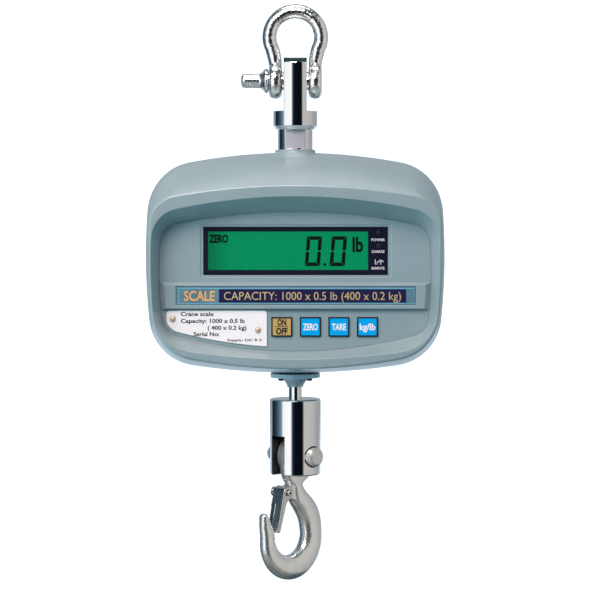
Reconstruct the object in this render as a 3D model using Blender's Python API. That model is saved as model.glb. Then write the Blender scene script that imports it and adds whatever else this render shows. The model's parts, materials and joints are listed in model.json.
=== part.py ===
"""A hanging crane scale, modelled as its separate pieces.

The load runs down one vertical line: shackle, upper eye, S-beam load cell, lower shaft,
swivel clevis, hook. The casing hangs on the load cell and carries the display and keys.
The origin is the inner crown of the shackle bow, where the scale hangs. +Z is up, and the
display faces -Y. Sizes in this file are millimetres until add_object() turns them to metres.
"""
import math
from collections import namedtuple

import bmesh
import bpy
from mathutils import Matrix, Vector

MM = 0.001
WELD = 0.0005            # distance under which built points become one
GAP = 0.3                # clearance between pieces that touch

# Levels on the load line
PIN_Z = -54.0            # shackle pin axis
TANG_TOP = -34.6
COLLAR_TOP = -80.3
COLLAR_BOTTOM = -96.0
COLUMN_BOTTOM = -141.0
CELL_TOP = -144.6
CELL_HEIGHT = 62.0
CELL_BOTTOM = CELL_TOP - CELL_HEIGHT
FLANGE_TOP = -307.8
SWIVEL_TOP = -330.0
SWIVEL_BOTTOM = -396.0
SLOT_TOP = -361.6
CLEVIS_Z = -379.5        # clevis pin axis

# Shackle
BAR_RADIUS = 6.2
BOW_INNER = 16.2
EYE_INNER_FACE = 11.5
EYE_THICKNESS = 11.5
EYE_RADIUS = 15.6
PIN_RADIUS = 8.0

# Load train
TANG_HALF = 10.0
COLLAR_RADIUS = 19.0
COLUMN_RADIUS = 15.0
WRENCH_FLAT = 12.4
STUD_RADIUS = 7.8
SHAFT_RADIUS = 5.65
SWIVEL_RADIUS = 22.2
NUT_BORE = 11.5
SLOT_HALF = 7.8
CLEVIS_PIN_RADIUS = 6.35
SWIVEL_TURN = math.radians(-135)   # hook plane: its mouth points to the front left

# Casing depths (Y): the bezel is the frontmost face
BEZEL_Y = -63.0
PANEL_Y = -44.0
PANEL_BACK = -41.0
BOARD_FRONT = -30.4
BOARD_BACK = -28.8
PARTING = 0.8            # half of the gap between the two casing halves
BACK_Y = 52.0
PAD_Y = 57.2             # rearmost face, the pad of the battery door
WALL = 3.0
SEAT = 4.0               # width of the ledge that the panel rests on
GASKET_END = 19.0        # a gasket strip stops this far from the load line

# Keys and display, on the panel
KEY_SIZE = (17.4, 16.2)
KEY_PITCH = 24.3
KEY_FIRST_X = -11.4
KEY_Z = -265.4
KEY_NAMES = ("power", "zero", "tare", "unit")
WINDOW = (-78.1, 78.7, -221.1, -180.4)      # x from, x to, z from, z to
LCD = (-77.0, 64.0, -220.0, -181.0)
BAR_FACE = ((-110.7, -229.7), (110.7, -229.7), (109.6, -249.7), (-109.6, -249.7))
BAR_FOOT = ((-115.1, -227.4), (115.1, -227.4), (113.5, -250.7), (-113.5, -250.7))
BAR_Y = -47.4              # front of the raised bar
STRIP = (-100.8, 102.4, -246.3, -231.6)
LAMP_X = 69.6

SCREW_POINTS = ((-100.0, -158.0), (100.0, -158.0), (-103.0, -272.0), (103.0, -272.0))
POST_X = 38.0
POST_Y = -12.0
DOOR_SCREW_X = 55.5
DOOR_Z = -250.5          # middle of the battery, its tray and its door
JACK = (88.0, -232.0)
RIVETS = ((-104.2, -258.6), (-31.7, -267.9))
FLANGE_SCREWS = ((-12.3, -11.7), (12.3, -11.7))

# Hook, in its own plane: u towards the mouth, z up
LATCH_PIVOT = (14.5, -411.0)
BOWL_CENTRE = (9.4, -448.5)
BOWL_RADIUS = 17.6
BACK_CENTRE = (5.5, -452.3)
BACK_RADIUS = 36.0

Section = namedtuple("Section", "top bottom half_width wide_z crown side belly upper lower")
CREST = Section(-116.0, -307.4, 129.6, -207.5, 502.0, 502.0, 615.0, 44.0, 44.0)
BEZEL_OUTER = Section(-144.7, -300.1, 123.8, -196.6, 579.0, 741.0, 473.0, 26.0, 40.6)
BEZEL_INNER = Section(-154.8, -291.6, 121.7, -213.0, 472.0, 398.0, 624.0, 25.4, 34.6)
PANEL_EDGE = Section(-167.6, -286.1, 115.7, -220.1, 506.0, 300.0, 391.0, 17.0, 16.0)


# ---------------------------------------------------------------- materials
def material(name, colour, roughness, metallic=0.0):
    made = bpy.data.materials.new(name)
    made.use_nodes = True
    shader = made.node_tree.nodes["Principled BSDF"]
    shader.inputs["Base Color"].default_value = (*colour, 1.0)
    shader.inputs["Roughness"].default_value = roughness
    shader.inputs["Metallic"].default_value = metallic
    made.diffuse_color = (*colour, 1.0)
    return made


def all_materials():
    return {
        "casing": material("casing_paint", (0.30, 0.36, 0.36), 0.45),
        "panel": material("panel_paint", (0.33, 0.40, 0.40), 0.5),
        "chrome": material("plated_steel", (0.62, 0.63, 0.64), 0.18, 1.0),
        "forged": material("plated_forging", (0.55, 0.55, 0.54), 0.38, 1.0),
        "steel": material("machined_steel", (0.45, 0.46, 0.47), 0.35, 1.0),
        "alloy": material("aluminium", (0.68, 0.69, 0.70), 0.4, 1.0),
        "black": material("black_plastic", (0.02, 0.02, 0.025), 0.5),
        "rubber": material("rubber", (0.03, 0.03, 0.03), 0.8),
        "glass": material("window", (0.01, 0.012, 0.04), 0.1),
        "lcd": material("lcd_green", (0.0, 0.25, 0.11), 0.3),
        "white": material("white_plate", (0.82, 0.84, 0.85), 0.4),
        "strip": material("label_metal", (0.10, 0.20, 0.26), 0.35, 0.6),
        "tan": material("tan_key", (0.42, 0.26, 0.09), 0.5),
        "cyan": material("cyan_key", (0.0, 0.32, 0.72), 0.5),
        "board": material("circuit_board", (0.02, 0.18, 0.07), 0.5),
        "brass": material("brass", (0.60, 0.42, 0.16), 0.35, 1.0),
        "battery": material("battery_wrap", (0.05, 0.09, 0.2), 0.5),
    }


# ---------------------------------------------------------------- mesh helpers
def add_object(name, bm, finish, pivot=(0.0, 0.0, 0.0), turn=0.0):
    """Close the mesh, turn it to metres about its pivot and put it in the scene."""
    bmesh.ops.remove_doubles(bm, verts=bm.verts, dist=WELD)
    bmesh.ops.recalc_face_normals(bm, faces=bm.faces)
    start = Vector(pivot)
    for vertex in bm.verts:
        vertex.co = (vertex.co - start) * MM
    mesh = bpy.data.meshes.new(name)
    bm.to_mesh(mesh)
    bm.free()
    mesh.shade_smooth()
    mesh.set_sharp_from_angle(angle=math.radians(35))
    mesh.materials.append(finish)
    made = bpy.data.objects.new(name, mesh)
    spin = Matrix.Rotation(turn, 4, "Z")
    made.location = (spin @ start) * MM
    made.rotation_euler = (0.0, 0.0, turn)
    bpy.context.scene.collection.objects.link(made)
    return made


def combine(target, tool, operation):
    tool.hide_render = True
    tool.display_type = "WIRE"
    step = target.modifiers.new(tool.name, "BOOLEAN")
    step.operation = operation
    step.object = tool


def block(bm, x_range, y_range, z_range):
    made = bmesh.ops.create_cube(bm, size=1.0)
    size = Vector((x_range[1] - x_range[0], y_range[1] - y_range[0], z_range[1] - z_range[0]))
    middle = Vector((sum(x_range), sum(y_range), sum(z_range))) / 2
    for vertex in made["verts"]:
        vertex.co = Vector([c * s for c, s in zip(vertex.co, size)]) + middle
    return made["verts"]


def turned(bm, profile, steps, place=None, ring=False):
    """Spin (radius, height) points about Z, then move the result by the matrix."""
    work = bmesh.new()
    verts = [work.verts.new((radius, 0.0, height)) for radius, height in profile]
    pairs = list(zip(verts, verts[1:]))
    if ring:
        pairs.append((verts[-1], verts[0]))
    edges = [work.edges.new(pair) for pair in pairs]
    bmesh.ops.spin(work, geom=verts + edges, axis=(0, 0, 1), cent=(0, 0, 0),
                   angle=math.tau, steps=steps, use_merge=True)
    bmesh.ops.remove_doubles(work, verts=work.verts, dist=WELD)
    work.transform(place or Matrix.Identity(4))
    mesh = bpy.data.meshes.new("turned")
    work.to_mesh(mesh)
    work.free()
    bm.from_mesh(mesh)
    bpy.data.meshes.remove(mesh)


def along_x(y, z):
    return Matrix.Translation((0, y, z)) @ Matrix.Rotation(math.pi / 2, 4, "Y")


def along_y(x, z):
    """Local Z becomes +Y."""
    return Matrix.Translation((x, 0, z)) @ Matrix.Rotation(-math.pi / 2, 4, "X")


def skin(bm, loops, ring=False):
    """Join loops of equal length with quads, and cap or close the two ends."""
    rows = [[bm.verts.new(point) for point in loop] for loop in loops]
    count = len(rows[0])
    pairs = list(zip(rows, rows[1:]))
    if ring:
        pairs.append((rows[-1], rows[0]))
    for first, second in pairs:
        for k in range(count):
            after = (k + 1) % count
            bm.faces.new((first[k], first[after], second[after], second[k]))
    if not ring:
        bm.faces.new(rows[0])
        bm.faces.new(rows[-1])


def prism(bm, outline, y_from, y_to):
    """An (x, z) outline carried from one depth to another."""
    skin(bm, [[(x, y, z) for x, z in outline] for y in (y_from, y_to)])


def arc(centre, radius, start, end, steps):
    """Points on an arc of the (x, z) plane, angles in degrees from +X."""
    points = []
    for k in range(steps + 1):
        angle = math.radians(start + (end - start) * k / steps)
        points.append((centre[0] + radius * math.cos(angle), centre[1] + radius * math.sin(angle)))
    return points


def rounded_box(x_from, x_to, z_from, z_to, radius, steps=4):
    outline = []
    outline += arc((x_to - radius, z_to - radius), radius, 90, 0, steps)
    outline += arc((x_to - radius, z_from + radius), radius, 0, -90, steps)
    outline += arc((x_from + radius, z_from + radius), radius, -90, -180, steps)
    outline += arc((x_from + radius, z_to - radius), radius, 180, 90, steps)
    return outline


def sweep(bm, path, radii, sides):
    """A round bar along a path, its frame carried along without twist."""
    points = [Vector(point) for point in path]
    tangents = []
    for k in range(len(points)):
        before = points[max(k - 1, 0)]
        after = points[min(k + 1, len(points) - 1)]
        tangents.append((after - before).normalized())
    side = tangents[0].orthogonal().normalized()
    loops = []
    for point, tangent, radius in zip(points, tangents, radii):
        side = (side - tangent * side.dot(tangent)).normalized()
        up = tangent.cross(side)
        loop = []
        for k in range(sides):
            angle = math.tau * k / sides
            loop.append(point + (side * math.cos(angle) + up * math.sin(angle)) * radius)
        loops.append(loop)
    skin(bm, loops)


def smooth_path(points, steps):
    """Catmull-Rom curve through the points."""
    spots = [Vector(point) for point in points]
    spots = [spots[0] * 2 - spots[1]] + spots + [spots[-1] * 2 - spots[-2]]
    path = []
    for a, b, c, d in zip(spots, spots[1:], spots[2:], spots[3:]):
        for k in range(steps):
            t = k / steps
            path.append(0.5 * (2 * b + (c - a) * t + (2 * a - 5 * b + 4 * c - d) * t ** 2
                               + (3 * b - 3 * c + d - a) * t ** 3))
    path.append(spots[-2])
    return path


# ---------------------------------------------------------------- casing outline
def corner_centre(centre_a, radius_a, centre_b, radius_b, radius):
    """Centre of the circle inside two big circles that touches both, on the +X side."""
    a = Vector(centre_a)
    b = Vector(centre_b)
    reach_a = radius_a - radius
    reach_b = radius_b - radius
    line = b - a
    length = line.length
    step = (reach_a ** 2 - reach_b ** 2 + length ** 2) / (2 * length)
    height = math.sqrt(reach_a ** 2 - step ** 2)
    along = line / length
    across = Vector((-along.y, along.x))
    return max((a + along * step + across * height, a + along * step - across * height),
               key=lambda point: point.x)


def casing_outline(section, inset=0.0, parts=5):
    """Closed (x, z) outline of five tangent arcs a side, from the top round by +X."""
    crown = section.crown - inset
    side = section.side - inset
    belly = section.belly - inset
    upper = section.upper - inset
    lower = section.lower - inset
    top = (0.0, section.top - inset - crown)
    middle = (section.half_width - inset - side, section.wide_z)
    bottom = (0.0, section.bottom + inset + belly)
    high = corner_centre(top, crown, middle, side, upper)
    low = corner_centre(bottom, belly, middle, side, lower)

    def heading(start, end):
        """Angle of a direction from +Z towards +X."""
        return math.atan2(end[0] - start[0], end[1] - start[1])

    turns = [0.0, heading(top, high), heading(middle, high), heading(middle, low),
             heading(bottom, low), math.pi]
    arcs = [(top, crown), (high, upper), (middle, side), (low, lower), (bottom, belly)]
    right = []
    for (centre, radius), start, end in zip(arcs, turns, turns[1:]):
        for k in range(parts):
            angle = start + (end - start) * k / parts
            right.append((centre[0] + radius * math.sin(angle), centre[1] + radius * math.cos(angle)))
    right.append((0.0, section.bottom + inset))
    left = [(-x, z) for x, z in reversed(right[1:-1])]
    return right + left


def casing_loop(section, inset, depth):
    return [(x, depth, z) for x, z in casing_outline(section, inset)]


def between(first, second, share):
    return Section(*[a + (b - a) * share for a, b in zip(first, second)])


def front_section(depth):
    """The casing's section at a depth between the crest (0) and the bezel."""
    return between(CREST, BEZEL_OUTER, (depth / BEZEL_Y) ** 1.6)


# ---------------------------------------------------------------- casing
def front_housing(finish):
    seat = PANEL_BACK + GAP
    loops = [casing_loop(front_section(depth), 0.0, depth) for depth in (-PARTING, -16, -32, -48, -60)]
    loops.append(casing_loop(BEZEL_OUTER, 1.3, BEZEL_Y))
    loops.append(casing_loop(BEZEL_INNER, 0.0, BEZEL_Y))
    loops.append(casing_loop(PANEL_EDGE, 0.0, PANEL_Y))
    loops.append(casing_loop(PANEL_EDGE, 0.0, seat))
    loops.append(casing_loop(PANEL_EDGE, SEAT, seat))
    loops.append(casing_loop(PANEL_EDGE, SEAT, seat + 2.5))
    loops.append(casing_loop(PANEL_EDGE, -2.5, seat + 2.5))
    hood = between(PANEL_EDGE, BEZEL_INNER, 0.53)
    loops.append(casing_loop(hood, -2.3, -54.0))
    loops.append(casing_loop(front_section(-54.0), 2.6, -53.0))
    loops.append(casing_loop(front_section(-32.0), WALL, -32.0))
    loops.append(casing_loop(front_section(-16.0), WALL, -16.0))
    loops.append(casing_loop(front_section(-PARTING), WALL, -PARTING))
    bm = bmesh.new()
    skin(bm, loops, ring=True)
    housing = add_object("front_housing", bm, finish)

    bm = bmesh.new()
    for x, z in SCREW_POINTS:
        depth = -57.0 if z > KEY_Z else seat + 1.0
        turned(bm, [(0, depth), (4.2, depth), (4.2, -PARTING), (0, -PARTING)], 12, along_y(x, z))
    for x in (-POST_X, POST_X):
        post = Matrix.Translation((x, POST_Y, 0))
        turned(bm, [(0, -121.0), (5.0, -121.0), (5.0, COLUMN_BOTTOM), (0, COLUMN_BOTTOM)], 12, post)
    combine(housing, add_object("bosses_front", bm, finish), "UNION")

    bm = bmesh.new()
    half_disc = [(17.4 * math.cos(a), -PARTING - 17.0 * math.sin(a))
                 for a in [math.pi * k / 12 for k in range(13)]]
    skin(bm, [[(x, y, z) for x, y in half_disc] for z in (-113.8, -118.0)])
    combine(housing, add_object("crest_front", bm, finish), "UNION")

    bm = bmesh.new()
    for x, z in SCREW_POINTS:
        turned(bm, [(0, -20.0), (2.1, -20.0), (2.1, 2.0), (0, 2.0)], 8, along_y(x, z))
    for x in (-POST_X, POST_X):
        hole = Matrix.Translation((x, POST_Y, 0))
        turned(bm, [(0, -130.0), (1.9, -130.0), (1.9, -145.0), (0, -145.0)], 8, hole)
    for x, y in FLANGE_SCREWS:
        hole = Matrix.Translation((x, y, 0))
        turned(bm, [(0, -300.0), (1.9, -300.0), (1.9, -312.0), (0, -312.0)], 8, hole)
    load_line_cut(bm)
    combine(housing, add_object("holes_front", bm, finish), "DIFFERENCE")


def load_line_cut(bm):
    """Clearance for the upper column and the lower shaft through the casing."""
    column = COLUMN_RADIUS + 0.4
    turned(bm, [(0, -105.0), (column, -105.0), (column, -135.0), (0, -135.0)], 24)
    turned(bm, [(0, -292.0), (9.0, -292.0), (9.0, -315.0), (0, -315.0)], 20)


def rear_cover(finish):
    outer = ((BACK_Y, 20.0), (BACK_Y - 1, 17.0), (47, 12.0), (38, 6.5), (22, 1.6), (PARTING, 0.0))
    inner = ((PARTING, WALL), (21, 4.8), (37, 10.0), (46, 17.0), (BACK_Y - WALL, 21.0))
    bm = bmesh.new()
    skin(bm, [casing_loop(CREST, inset, depth) for depth, inset in outer + inner])
    cover = add_object("rear_cover", bm, finish)

    bm = bmesh.new()
    for x, z in SCREW_POINTS:
        turned(bm, [(0, 50.5), (6.2, 50.5), (6.2, PARTING), (0, PARTING)], 14, along_y(x, z))
    combine(cover, add_object("bosses_rear", bm, finish), "UNION")

    bm = bmesh.new()
    half_disc = [(17.4 * math.cos(a), PARTING + 17.0 * math.sin(a))
                 for a in [math.pi * k / 12 for k in range(13)]]
    skin(bm, [[(x, y, z) for x, y in half_disc] for z in (-113.8, -118.0)])
    combine(cover, add_object("crest_rear", bm, finish), "UNION")

    bm = bmesh.new()
    for x, z in SCREW_POINTS:
        bore = [(0, -2.0), (2.1, -2.0), (2.1, 11.0), (4.1, 11.0), (4.1, 55.0), (0, 55.0)]
        turned(bm, bore, 12, along_y(x, z))
    for x in (-DOOR_SCREW_X, DOOR_SCREW_X):
        turned(bm, [(0, 45.0), (1.9, 45.0), (1.9, 55.0), (0, 55.0)], 8, along_y(x, DOOR_Z))
    turned(bm, [(0, 45.0), (5.7, 45.0), (5.7, 55.0), (0, 55.0)], 16, along_y(*JACK))
    block(bm, (-48.7, 48.7), (45.0, 55.0), (DOOR_Z - 29.6, DOOR_Z + 29.6))
    load_line_cut(bm)
    combine(cover, add_object("holes_rear", bm, finish), "DIFFERENCE")


def gaskets(finish):
    """One strip a side, in the joint between the casing halves, clear of the load line."""
    outer = casing_outline(CREST, 0.8)
    inner = casing_outline(CREST, 2.4)
    half = len(outer) // 2
    for name, sign in (("gasket_right", 1), ("gasket_left", -1)):
        outside = [point for point in outer[:half + 1] if point[0] > GASKET_END]
        inside = [point for point in inner[:half + 1] if point[0] > GASKET_END]
        bm = bmesh.new()
        outline = [(sign * x, z) for x, z in outside + inside[::-1]]
        prism(bm, outline, -PARTING + GAP, PARTING - GAP)
        add_object(name, bm, finish)


# ---------------------------------------------------------------- front panel
def front_panel(finish):
    bm = bmesh.new()
    prism(bm, casing_outline(PANEL_EDGE, GAP), PANEL_Y, PANEL_BACK)
    panel = add_object("front_panel", bm, finish)

    bm = bmesh.new()
    rows = ((BAR_FOOT, PANEL_Y + 0.5), (BAR_FOOT, PANEL_Y - 0.1), (BAR_FACE, BAR_Y))
    skin(bm, [[(x, depth, z) for x, z in outline] for outline, depth in rows])
    combine(panel, add_object("bar", bm, finish), "UNION")

    bm = bmesh.new()
    for x, z in ((-78.0, -228.0), (78.0, -228.0), (-76.0, -266.0), (76.0, -266.0)):
        turned(bm, [(0, -43.0), (3.0, -43.0), (3.0, BOARD_FRONT - GAP), (0, BOARD_FRONT - GAP)],
               10, along_y(x, z))
    combine(panel, add_object("standoffs", bm, finish), "UNION")

    bm = bmesh.new()
    block(bm, (WINDOW[0] + 2, WINDOW[1] - 2), (-48.0, -39.0), (WINDOW[2] + 2, WINDOW[3] - 2))
    for k in range(len(KEY_NAMES)):
        x = KEY_FIRST_X + KEY_PITCH * k
        half_x = KEY_SIZE[0] / 2 + GAP
        half_z = KEY_SIZE[1] / 2 + GAP
        block(bm, (x - half_x, x + half_x), (-48.0, -39.0), (KEY_Z - half_z, KEY_Z + half_z))
    block(bm, (STRIP[0] - GAP, STRIP[1] + GAP), (-50.0, -46.0), (STRIP[2] - GAP, STRIP[3] + GAP))
    for x, z in RIVETS:
        turned(bm, [(0, -48.0), (1.6, -48.0), (1.6, -39.0), (0, -39.0)], 8, along_y(x, z))
    combine(panel, add_object("panel_openings", bm, finish), "DIFFERENCE")

    bm = bmesh.new()
    rebate = rounded_box(WINDOW[0] - GAP, WINDOW[1] + GAP, WINDOW[2] - GAP, WINDOW[3] + GAP, 1.0)
    frame = rounded_box(WINDOW[0] - 2.4, WINDOW[1] + 3.0, WINDOW[2] - 2.1, WINDOW[3] + 1.6, 1.2)
    brim = rounded_box(WINDOW[0] - 2.8, WINDOW[1] + 3.4, WINDOW[2] - 2.5, WINDOW[3] + 2.0, 1.6)
    rows = ((brim, PANEL_Y - 1.0), (brim, PANEL_Y), (frame, PANEL_Y + 0.7),
            (rebate, PANEL_Y + 0.7), (rebate, -41.8))
    skin(bm, [[(x, depth, z) for x, z in outline] for outline, depth in rows])
    combine(panel, add_object("window_rebate", bm, finish), "DIFFERENCE")


def key(name, x, finish):
    """A square key cap with a retaining flange and a plunger behind the panel."""
    wide, tall = KEY_SIZE
    flange_front = PANEL_BACK + GAP
    rows = ((wide - 1.2, tall - 1.2, -45.8), (wide, tall, -45.2), (wide, tall, flange_front),
            (wide + 2, tall + 2, flange_front), (wide + 2, tall + 2, flange_front + 1.2),
            (5.0, 5.0, flange_front + 1.2), (5.0, 5.0, -35.5))
    bm = bmesh.new()
    loops = []
    for across, high, depth in rows:
        loops.append([(x + across / 2 * i, depth, KEY_Z + high / 2 * j)
                      for i, j in ((1, 1), (1, -1), (-1, -1), (-1, 1))])
    skin(bm, loops)
    add_object("key_" + name, bm, finish, pivot=(x, PANEL_Y, KEY_Z))


def panel_pieces(finishes):
    bm = bmesh.new()
    prism(bm, rounded_box(*WINDOW, 0.8), PANEL_Y + 0.7, -42.1)
    add_object("display_window", bm, finishes["glass"])

    bm = bmesh.new()
    block(bm, LCD[:2], (-40.6, -37.8), LCD[2:])
    add_object("lcd_glass", bm, finishes["lcd"])

    bm = bmesh.new()
    block(bm, LCD[:2], (-37.5, -33.4), LCD[2:])
    add_object("backlight", bm, finishes["white"])

    bm = bmesh.new()
    block(bm, (LCD[0] - 2.4, LCD[1] + 2.4), (-40.6, BOARD_FRONT - GAP), (LCD[2] - 2.4, LCD[3] + 2.4))
    holder = add_object("lcd_holder", bm, finishes["black"])
    bm = bmesh.new()
    block(bm, (LCD[0] - GAP, LCD[1] + GAP), (-45, -33.1), (LCD[2] - GAP, LCD[3] + GAP))
    combine(holder, add_object("holder_pocket", bm, finishes["black"]), "DIFFERENCE")

    bm = bmesh.new()
    block(bm, (-84, 84), (BOARD_FRONT, BOARD_BACK), (-277, -179))
    add_object("main_board", bm, finishes["board"])

    for k, name in enumerate(KEY_NAMES):
        x = KEY_FIRST_X + KEY_PITCH * k
        bm = bmesh.new()
        block(bm, (x - 3, x + 3), (-34.2, BOARD_FRONT - GAP), (KEY_Z - 3, KEY_Z + 3))
        add_object("switch_" + name, bm, finishes["black"])
        key(name, x, finishes["tan" if name == "power" else "cyan"])

    lamp = [(0, -40.6), (1.4, -40.2), (2.2, -39.0), (2.2, BOARD_FRONT - GAP), (0, BOARD_FRONT - GAP)]
    for name, z in (("power_lamp", -185.5), ("charge_lamp", -196.6)):
        bm = bmesh.new()
        turned(bm, lamp, 12, along_y(LAMP_X + 1.5, z))
        add_object(name, bm, finishes["glass"])
    bm = bmesh.new()
    block(bm, (LAMP_X - 1.5, LAMP_X + 4.5), (-39.5, BOARD_FRONT - GAP), (-213, -206))
    add_object("remote_receiver", bm, finishes["black"])

    bm = bmesh.new()
    block(bm, STRIP[:2], (-46.9, -46.3), STRIP[2:])
    add_object("label_strip", bm, finishes["strip"])

    bm = bmesh.new()
    prism(bm, casing_outline(PANEL_EDGE, 3.2), -45.0, PANEL_Y - GAP)
    plate = add_object("rating_plate", bm, finishes["white"])
    bm = bmesh.new()
    prism(bm, rounded_box(-130.0, -24.2, -300.0, -251.5, 5.0), -47.0, -42.0)
    combine(plate, add_object("plate_limits", bm, finishes["white"]), "INTERSECT")
    bm = bmesh.new()
    for x, z in RIVETS:
        turned(bm, [(0, -48.0), (1.6, -48.0), (1.6, -39.0), (0, -39.0)], 8, along_y(x, z))
    combine(plate, add_object("plate_holes", bm, finishes["white"]), "DIFFERENCE")

    rivet = [(0, -46.7), (1.6, -46.4), (2.6, -45.3), (1.3, -45.3), (1.3, -40.2), (0, -40.2)]
    for name, (x, z) in zip(("plate_rivet_left", "plate_rivet_right"), RIVETS):
        bm = bmesh.new()
        turned(bm, rivet, 12, along_y(x, z))
        add_object(name, bm, finishes["brass"])


# ---------------------------------------------------------------- back of the casing
def pan_screw(name, place, finish, head, shank, length, steps=12):
    """A pan-head screw: its head's underside is at height 0, its shank runs to -length."""
    bm = bmesh.new()
    profile = [(0, head * 0.8), (head * 0.7, head * 0.73), (head, head * 0.4), (head, 0), (shank, 0),
               (shank, -length + shank), (0, -length)]
    turned(bm, profile, steps, place)
    add_object(name, bm, finish)


def power_pieces(finishes):
    bm = bmesh.new()
    block(bm, (-47, 47), (14.5, 44), (DOOR_Z - 27, DOOR_Z + 27))
    add_object("battery", bm, finishes["battery"])

    bm = bmesh.new()
    block(bm, (-50.5, 50.5), (11.7, BACK_Y - WALL - GAP), (DOOR_Z - 31.5, DOOR_Z + 31.5))
    tray = add_object("battery_tray", bm, finishes["black"])
    bm = bmesh.new()
    block(bm, (-48.4, 48.4), (14.0, 60), (DOOR_Z - 29.4, DOOR_Z + 29.4))
    combine(tray, add_object("tray_hollow", bm, finishes["black"]), "DIFFERENCE")

    bm = bmesh.new()
    door_front = BACK_Y + GAP
    ear_back = door_front + 1.6
    door = rounded_box(-60, 60, DOOR_Z - 33, DOOR_Z + 33, 5.0)
    pad = rounded_box(-49, 49, DOOR_Z - 32, DOOR_Z + 32, 4.0)
    lip = rounded_box(-48, 48, DOOR_Z - 31, DOOR_Z + 31, 3.0)
    rows = ((door, door_front), (door, ear_back), (pad, ear_back), (pad, PAD_Y - 0.8), (lip, PAD_Y))
    skin(bm, [[(x, depth, z) for x, z in outline] for outline, depth in rows])
    battery_door = add_object("battery_door", bm, finishes["casing"])
    bm = bmesh.new()
    for x in (-DOOR_SCREW_X, DOOR_SCREW_X):
        turned(bm, [(0, 50.0), (1.9, 50.0), (1.9, 60.0), (0, 60.0)], 8, along_y(x, DOOR_Z))
    combine(battery_door, add_object("door_holes", bm, finishes["casing"]), "DIFFERENCE")

    for name, x in (("door_screw_left", -DOOR_SCREW_X), ("door_screw_right", DOOR_SCREW_X)):
        place = along_y(x, DOOR_Z) @ Matrix.Translation((0, 0, ear_back + GAP))
        pan_screw(name, place, finishes["steel"], 3.0, 1.5, 9.0)
    for number, (x, z) in enumerate(SCREW_POINTS, start=1):
        place = along_y(x, z) @ Matrix.Translation((0, 0, 11.0 + GAP))
        pan_screw("cover_screw_%d" % number, place, finishes["steel"], 3.6, 1.7, 28.0)

    bm = bmesh.new()
    socket = [(0, 51.0), (1.0, 51.0), (1.0, 42.0), (2.9, 42.0), (2.9, 53.8), (7.4, 53.8),
              (7.4, BACK_Y + GAP), (5.4, BACK_Y + GAP), (5.4, 38.0), (0, 38.0)]
    turned(bm, socket, 20, along_y(*JACK))
    add_object("charging_jack", bm, finishes["black"])


# ---------------------------------------------------------------- load train
def upper_eye(finish):
    """Tang, collar, column and stud: one turned bar, then milled and bored."""
    bm = bmesh.new()
    turned(bm, [(0, TANG_TOP), (16.8, TANG_TOP), (COLLAR_RADIUS, TANG_TOP - 4.3),
                (COLLAR_RADIUS, COLLAR_BOTTOM + 3.0), (16.9, COLLAR_BOTTOM),
                (COLUMN_RADIUS, COLLAR_BOTTOM), (COLUMN_RADIUS, COLUMN_BOTTOM),
                (STUD_RADIUS, COLUMN_BOTTOM), (STUD_RADIUS, -158.0), (0, -158.0)], 40)
    eye = add_object("upper_eye", bm, finish)
    bm = bmesh.new()
    block(bm, (TANG_HALF, 30), (-30, 30), (COLLAR_TOP, -20))
    block(bm, (-30, -TANG_HALF), (-30, 30), (COLLAR_TOP, -20))
    block(bm, (-20, 20), (WRENCH_FLAT, 30), (-112.5, -96.5))
    block(bm, (-20, 20), (-30, -WRENCH_FLAT), (-112.5, -96.5))
    combine(eye, add_object("eye_milling", bm, finish), "DIFFERENCE")
    bm = bmesh.new()
    bore = PIN_RADIUS + 0.35
    turned(bm, [(0, -15), (bore, -15), (bore, 15), (0, 15)], 24, along_x(0, PIN_Z))
    combine(eye, add_object("eye_bore", bm, finish), "DIFFERENCE")


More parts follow.
